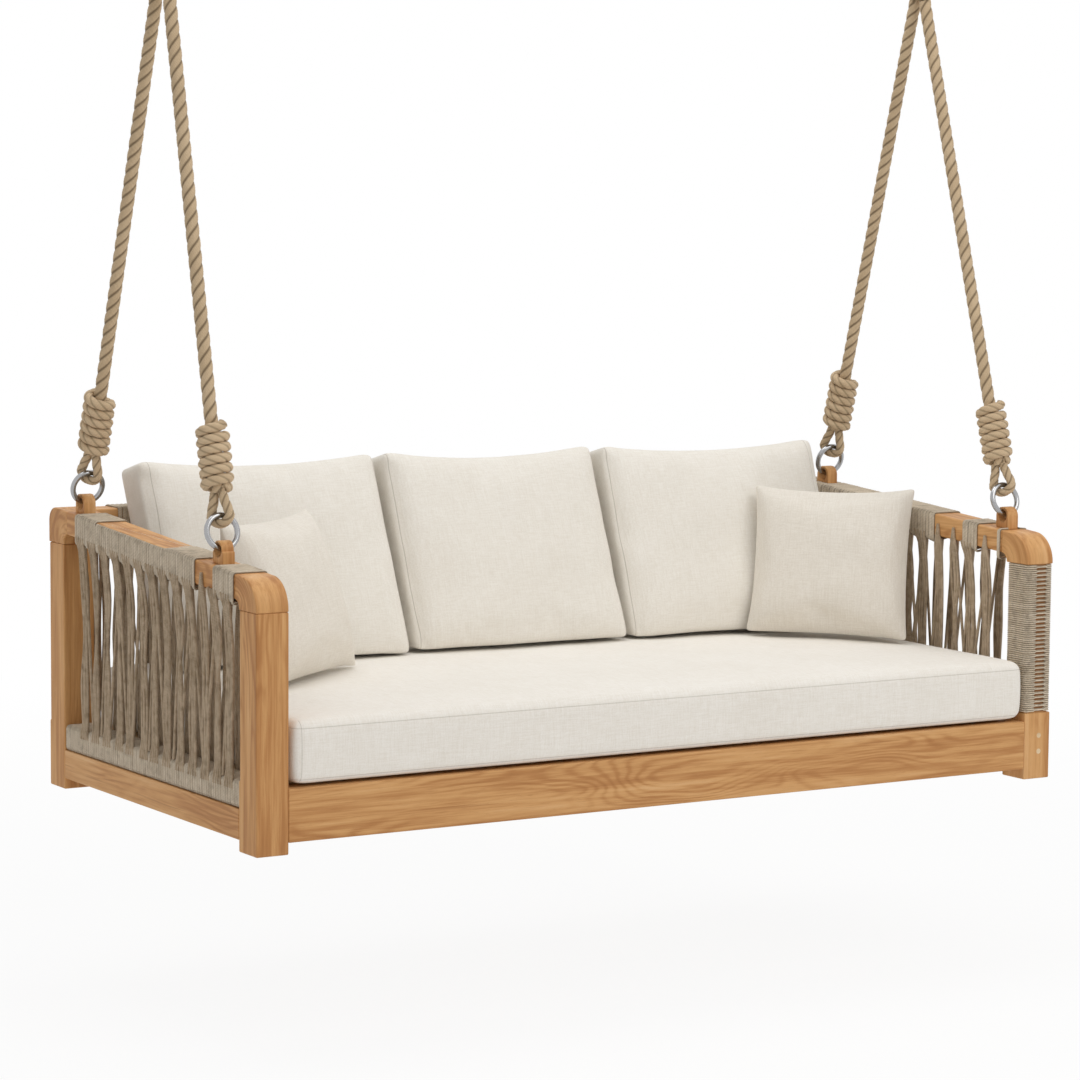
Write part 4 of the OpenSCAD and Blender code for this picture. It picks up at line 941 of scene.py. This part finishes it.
def make_cords():
    random.seed(11)
    # the third tone darkens dirty stretches and is also the painted shade in the creases between cords
    tones = ((0.76, 0.66, 0.525), (0.50, 0.41, 0.30), (0.15, 0.105, 0.065))
    # painted shade: the strands' cord is the same cord as the wraps, given darker tones
    cord = thin_cord("strand_cord_painted_darker", (0.60, 0.475, 0.34), (0.31, 0.225, 0.14), (0.14, 0.095, 0.055))
    side_wrap = thin_cord("side_wrap_cord", *tones, along=1)
    back_wrap = thin_cord("back_wrap_cord", *tones, along=0)
    winding = thin_cord(
        "winding_cord", (0.90, 0.79, 0.635), (0.56, 0.455, 0.325), (0.15, 0.105, 0.065), along=2, creased=0.5
    )
    pressed = flat_profile("pressed cord outline", PRESSED_W, PRESSED_T)

    def wraps(name, lines, finish, closed, flat):
        form = {"closed": closed, "profile": pressed, "flat": flat}
        cord_piece(name, lines, "bed", finish, "cord_wraps", PRESSED_W, **form)

    def strands(place, lines):
        cord_piece(f"cord_strands_{place}", lines, "bed", cord, f"cord_panel_{place}", STRAND_CORD_D)

    for side in SIDES:
        turns = arm_turns(side)
        whole = [line for line, closed in turns if closed] + rail_turns(side)
        wraps(f"cord_wraps_{side}", whole, side_wrap, True, 1)
        wraps(f"cord_ends_{side}", [line for line, closed in turns if not closed], side_wrap, False, 1)
        strands(side, side_strands(side))
    wraps("cord_wraps_back", back_turns(), back_wrap, True, 0)
    strands("back", back_strands())
    cord_piece("cord_round_post", post_turns(), "bed", winding, "post_winding", WIND_D, closed=True, sides=2)
    bpy.data.objects.remove(pressed)


# ---- Wood ----


def make_wood():
    front = oiled_wood("teak_front_rail", 0, (0.3, 0.0, 0.02), strength=0.7)
    upright = [oiled_wood(f"teak_post_{k}", 2, (0.11 * k, 0.07 * k, 0.5 * k)) for k in range(2)]
    arm = oiled_wood("teak_arm", 1, (0.2, 0.1, 0.05))
    apron = oiled_wood("teak_apron", 1, (0.4, 0.2, 0.11))
    back = oiled_wood("teak_back", 0, (0.1, 0.3, 0.2))
    lug = oiled_wood("teak_lug", 2, (0.05, 0.33, 0.1), strength=0.6)
    # heights of the right front post's winding, where its wood gets painted shade
    under = [bed(0, 0, z)[2] for z in (WIND_LOW - 1, SEAM_FRONT)]
    post_with_painted_shade = oiled_wood("teak_post_covered", 2, (0.11, 0.07, 0.5), painted_shade_heights=under)
    bends = {}
    for end, inner, shift in (("front", BLOCK_L, 0.3), ("back", BED_D - BLOCK_L, 0.5)):
        _, y, z = bed(0, inner, BEND_Z[end])
        bends[end] = oiled_wood(f"teak_bend_{end}", 1, (shift, 0, 0), curl=(y, z))
    bare = oiled_wood("bare_pine", 1, (0.7, 0.1, 0.4), tones=PINE)
    cross = oiled_wood("bare_pine_cross", 0, (0.7, 0.1, 0.4), tones=PINE)
    for side in SIDES:
        for end in ENDS:
            wound = (side, end) == ("right", "front")
            post = post_with_painted_shade if wound else upright[(side == "right") ^ (end == "back")]
            softened(f"post_{side}_{end}", post, 0.0032)
            softened(f"corner_block_{side}_{end}", bends[end], 0.003)
            y = LUG_Y[side, end]
            half = 17.5 if (side, end) == ("left", "front") else 23
            arch = (y, arm_z(y) + WIRE_UP[end] + 17, half, half - 1.5)
            softened(f"lug_{side}_{end}", lug, 0.0022, 0.0004, 2, arch)
        repaint(f"arm_rail_{side}", arm)
        repaint(f"cord_rail_{side}", arm)
        softened(f"side_apron_{side}", apron, 0.002)
    softened("front_rail", front)
    softened("back_rail", back, 0.002)
    repaint("back_top_rail", back)
    repaint("cord_rail_back", back)
    repaint("slats", bare)
    for node in ("middle_beam", "ledgers", "dowels_and_plugs"):
        repaint(node, cross)


# ---- Cushions ----

SEAT_L, SEAT_D, SEAT_T, SEAT_FRONT, SEAT_LOW = 1844, 922, 134, -8, 136.5
SEAT_MID, SEAT_CROWN = SEAT_FRONT + SEAT_D / 2, 15


def swell(a):
    return max(0.0, 1 - abs(a) ** 3) ** 0.65


def seat_top(x, y):
    crown = swell((x - BED_L / 2) / (SEAT_L / 2)) * swell((y - SEAT_MID) / (SEAT_D / 2))
    return SEAT_LOW + SEAT_T + SEAT_CROWN * crown


def soft_top(x, y):
    """The seat's top as it is seen: a little uneven and a little below the plain form."""
    return seat_top(x, y) - 1.6 + crumple((x, y, 0), 190, 2.6, 3)


def unit_pad(cuts):
    """A closed box of quads with corners at -1 and 1, cut into a grid along each axis."""
    bm = bmesh.new()
    bmesh.ops.create_cube(bm, size=2)
    for normal, places in zip(Matrix.Identity(3), cuts):
        for place in places:
            geom = bm.verts[:] + bm.edges[:] + bm.faces[:]
            bmesh.ops.bisect_plane(bm, geom=geom, plane_co=normal * place, plane_no=normal)
    return bm


def even(count):
    return [2 * i / count - 1 for i in range(1, count)]


def rounded(point, half, radius):
    """A point of a box's skin moved to where the skin of the box with round edges is."""
    core = [min(max(p, radius - h), h - radius) for p, h in zip(point, half)]
    out = Vector(point) - Vector(core)
    return Vector(core) + out * (radius / out.length) if out.length > radius else Vector(point)


def stuffed_mesh(name, bm, pressure, cap, hold):
    """Blows the form up a little as cloth, then holds each point within cap of where it started.
    What lies beside the cushion stops it: hold takes a point of the bed to where it may be."""
    mesh = as_mesh(bm, name)
    start = [v.co.copy() for v in mesh.vertices]
    piece = placed(name, mesh)
    cloth = piece.modifiers.new("cloth", "CLOTH")
    s = cloth.settings
    s.quality, s.mass = 5, 0.3
    s.tension_stiffness = s.compression_stiffness = 15
    s.shear_stiffness, s.bending_stiffness = 5, 0.4
    s.use_pressure, s.uniform_pressure_force = True, pressure
    s.effector_weights.gravity = 0
    cloth.collision_settings.use_collision = False
    cloth.point_cache.frame_start, cloth.point_cache.frame_end = 1, 20
    for f in range(1, 21):
        scene.frame_set(f)
    shown = piece.evaluated_get(bpy.context.evaluated_depsgraph_get())
    moved = [v.co.copy() for v in shown.data.vertices]
    bpy.data.objects.remove(piece)
    for v, a, b in zip(mesh.vertices, start, moved):
        step = b - a
        v.co = a + step * min(1, cap / max(step.length, 1e-9))
    stop(mesh, hold)
    scene.frame_set(1)
    return mesh


def stop(mesh, hold):
    corner = bed(0, 0, 0)
    for v in mesh.vertices:
        v.co = bed(*hold(*((v.co - corner) * 1000)))


def crumple(p, size, amount, seed):
    """A small even unevenness, the same on every run."""
    return noise.noise((Vector(p) / size) + Vector((seed, seed * 0.7, -seed))) * amount


def add_cushion(name, mesh, cloth, node):
    piece = add_piece(name, mesh, "bed", cloth, node)
    rounder = piece.modifiers.new("round", "SUBSURF")
    rounder.levels = rounder.render_levels = 1


def make_seat(cloth):
    half = (SEAT_L / 2 - 1, SEAT_D / 2 - 1, SEAT_T / 2 - 1)
    rims = [[s * (1 - 11 / h) for s in (-1, 1)] for h in half]
    bm = unit_pad((even(72) + rims[0], even(36) + rims[1], rims[2] + [-0.67, -0.3, 0, 0.3, 0.67]))
    for v in bm.verts:
        a, b, t = v.co
        x, y, z = rounded((a * half[0], b * half[1], t * half[2]), half, 23)
        if t > 0.99:
            z += SEAT_CROWN * swell(a) * swell(b)
        puff = 3 * (1 - t * t)
        x += math.copysign(puff, a) * (abs(a) > 0.999)
        y += math.copysign(puff, b) * (abs(b) > 0.999)
        v.co = bed(BED_L / 2 + x, SEAT_MID + y, SEAT_LOW + SEAT_T / 2 + z)
    mesh = stuffed_mesh("seat_mesh", bm, 2.5, 0.004, lambda x, y, z: (x, y, min(z, soft_top(x, y))))
    add_cushion("linen_seat", mesh, cloth, "seat_cushion")


BACKS = ((436, 568, 655, 24), (1003, 548, 634, 22.5), (1573, 572, 618, 20))
BACK_H, BACK_T, BACK_TOP_T, BACK_CROWN = 432, 122, 108, 24


def make_back_cushion(index, cloth):
    middle, width, foot, lean = BACKS[index]
    near = min(max(BED_L / 2, middle - width / 2), middle + width / 2)
    base = seat_top(near, foot) + 0.3
    more = ((-14, 0), (0, 0), (0, 18))[index]
    reach = [width / 2 + 4.4 + abs(m) for m in more]
    bm = unit_pad((even(32), even(8), even(26)))
    tilt = math.tan(math.radians(lean))
    for v in bm.verts:
        a, t, b = v.co[0], -v.co[1], v.co[2]
        front = t > 0.99
        # the sides reach nearly to the next cushion, and the upper edge dips between its corners
        half = (width / 2 + 3.5, BACK_T / 2, BACK_H / 2 - 1)
        radius = 34 if front and a < -0.9 and b < 0.9 else 14
        x, deep, up = rounded((a * half[0], t * half[1], b * half[2]), half, radius)
        # the outer cushions swell towards the arms
        x += more[0] * max(0.0, -a) ** 4 + more[1] * max(0.0, a) ** 4
        if b < 0:
            up = (up + b * half[2]) / 2
        h = (up + BACK_H / 2) / BACK_H
        thick = BACK_T + (BACK_TOP_T - BACK_T) * h
        depth = deep / BACK_T
        if front:
            depth += (BACK_CROWN + 1) / thick * swell(a) * swell(b)
        # each cushion stands a little further forward at its right end
        y = foot + BACK_H * h * tilt + thick * (0.5 - depth) - 9 * (1 + a)
        place = middle + x
        # the upper edge falls to the back, because the cushion leans
        z = base + BACK_H * h + (8 - 11 * (1 - a * a) * h - 28 * (0.5 - min(depth, 0.5))) * h**3
        z += (soft_top(place, y) + 0.5 - base) * (1 - h) ** 4
        if front:
            y += crumple((place, y, z), 130, 5, 9 + index) + crumple((place, y, z * 0.5), 45, 1.6, index)
            # slight pull marks that run in from the side seams
            y += 2.4 * math.sin(z / 21 + index) * abs(a) ** 5 * (1 - abs(b))
            y += crumple((place, 0, z * 0.3), 40, 6.0 * max(h, 0.0) ** 6, 40 + index)
        v.co = bed(place, y, z)

    def hold(x, y, z):
        x = min(max(x, middle - reach[0]), middle + reach[1])
        return x, y, max(z, soft_top(x, y) + 0.3)

    mesh = stuffed_mesh(f"back_{index}_mesh", bm, 3.0, 0.009, hold)
    name = ("left", "middle", "right")[index]
    add_cushion(f"linen_back_{name}", mesh, cloth, f"back_cushion_{name}")


PILLOWS = ((318, 474, 35, -20, 412), (1744, 494, -44, -18, 396))
PILLOW_H, PILLOW_CROWN, PILLOW_EDGE = 368, 54, 5


def make_pillow(index, cloth):
    px, py, turn, lean, width = PILLOWS[index]
    settle = Matrix.Rotation(math.radians(turn), 3, "Z") @ Matrix.Rotation(math.radians(lean), 3, "X")
    feet = [settle @ Vector((s * width / 2, 0, -PILLOW_H / 2)) for s in (-1, -0.5, 0.5, 1)]
    low = max(seat_top(px + foot[0], py + foot[1]) for foot in feet)
    tip = math.radians(abs(lean))
    rise = low + 0.3 + PILLOW_H / 2 * math.cos(tip) + PILLOW_EDGE * math.sin(tip)
    bm = unit_pad((even(28), [0.0], even(28)))
    for v in bm.verts:
        a, t, b = v.co[0], v.co[1], v.co[2]
        x = a * (width / 2 - 2 - (abs(b) > 0.999)) * (1 - 0.035 * (1 - b * b))
        z = b * (PILLOW_H / 2 - 2 - (abs(a) > 0.999)) * (1 - (0.055 if b > 0 else 0.0) * (1 - a * a))
        y = t * (3 + (PILLOW_CROWN - 8) * swell(a) * swell(b))
        p = Vector((x, y, z))
        y += crumple(p, 90, 5, 21 + index) * swell(a) * swell(b)
        y += t * 1.5 * math.sin(z / 17 + 2 * index) * abs(a) ** 4 * (1 - abs(b)) * swell(a)
        q, foot = settle @ Vector((x, y, z)), settle @ Vector((x, y * 0.3, -PILLOW_H / 2))
        # its lower edge lies on the seat all along
        sink = rise + foot[2] - soft_top(px + foot[0], py + foot[1]) - 0.5
        v.co = bed(px + q[0], py + q[1], rise + q[2] - sink * ((1 - b) / 2) ** 3)

    def hold(x, y, z):
        return x, y, max(z, soft_top(x, y) + 0.3)

    mesh = stuffed_mesh(f"pillow_{index}_mesh", bm, 3.5, 0.012, hold)
    add_cushion(f"linen_pillow_{SIDES[index]}", mesh, cloth, f"pillow_{SIDES[index]}")


def make_cushions():
    low, high = (bed(0, 0, z)[2] for z in (SEAT_LOW + 12, SEAT_LOW + SEAT_T - 19))
    end, edge, _ = bed(98, 12, 0)
    seams = ((2, low, None), (2, high, None), (0, end, edge))
    # painted light: the seat has the backs' linen, made lighter for its lit top
    make_seat(linen("linen_of_seat_painted_lighter", (0.815, 0.768, 0.692), (0.95, 0.922, 0.872), seams=seams))
    for index, (middle, width, _, _) in enumerate(BACKS):
        seams = [(0, bed(middle + s * (width / 2 - 12), 0, 0)[0], None) for s in (-1, 1)]
        make_back_cushion(index, linen(f"linen_of_back_{index}", seams=seams))
    for index, pillow in enumerate(PILLOWS):
        # painted shade: the pillows have the same linen, made darker for their shaded faces
        cloth = linen(f"linen_of_pillow_painted_darker_{index}", (0.745, 0.688, 0.60), (0.885, 0.842, 0.77), pillow[2])
        make_pillow(index, cloth)


# ---- The whole scene ----


def make_stage():
    bm = bmesh.new()
    bmesh.ops.create_grid(bm, x_segments=1, y_segments=1, size=30)
    bmesh.ops.translate(bm, verts=bm.verts, vec=(0, 0, -2.5))
    mesh = as_mesh(bm, "floor")
    mesh.materials.append(pale_ground("pale_floor"))
    placed("floor", mesh)
    sky = Paint("studio", "worlds")
    scene.world = sky.made
    plain = sky.tree.nodes["Background"]
    plain.inputs["Color"].default_value = (1, 0.985, 0.965, 1)
    plain.inputs["Strength"].default_value = 0.53
    sky.white_to_sight("Background", plain.outputs[0], 1.0, sky.tree.nodes["World Output"].inputs[0])
    soft_lamp("key", (1.5, -5.0, 2.6), (0, 0, -1.6), 4.0, 112, (1, 0.985, 0.96))
    soft_lamp("top", (-0.5, 0.5, 4.0), (0, 0, -1.6), 4.0, 116, (0.98, 0.99, 1))


make_camera()
make_stage()
make_ropes()
make_metal()
make_cords()
make_wood()
make_cushions()
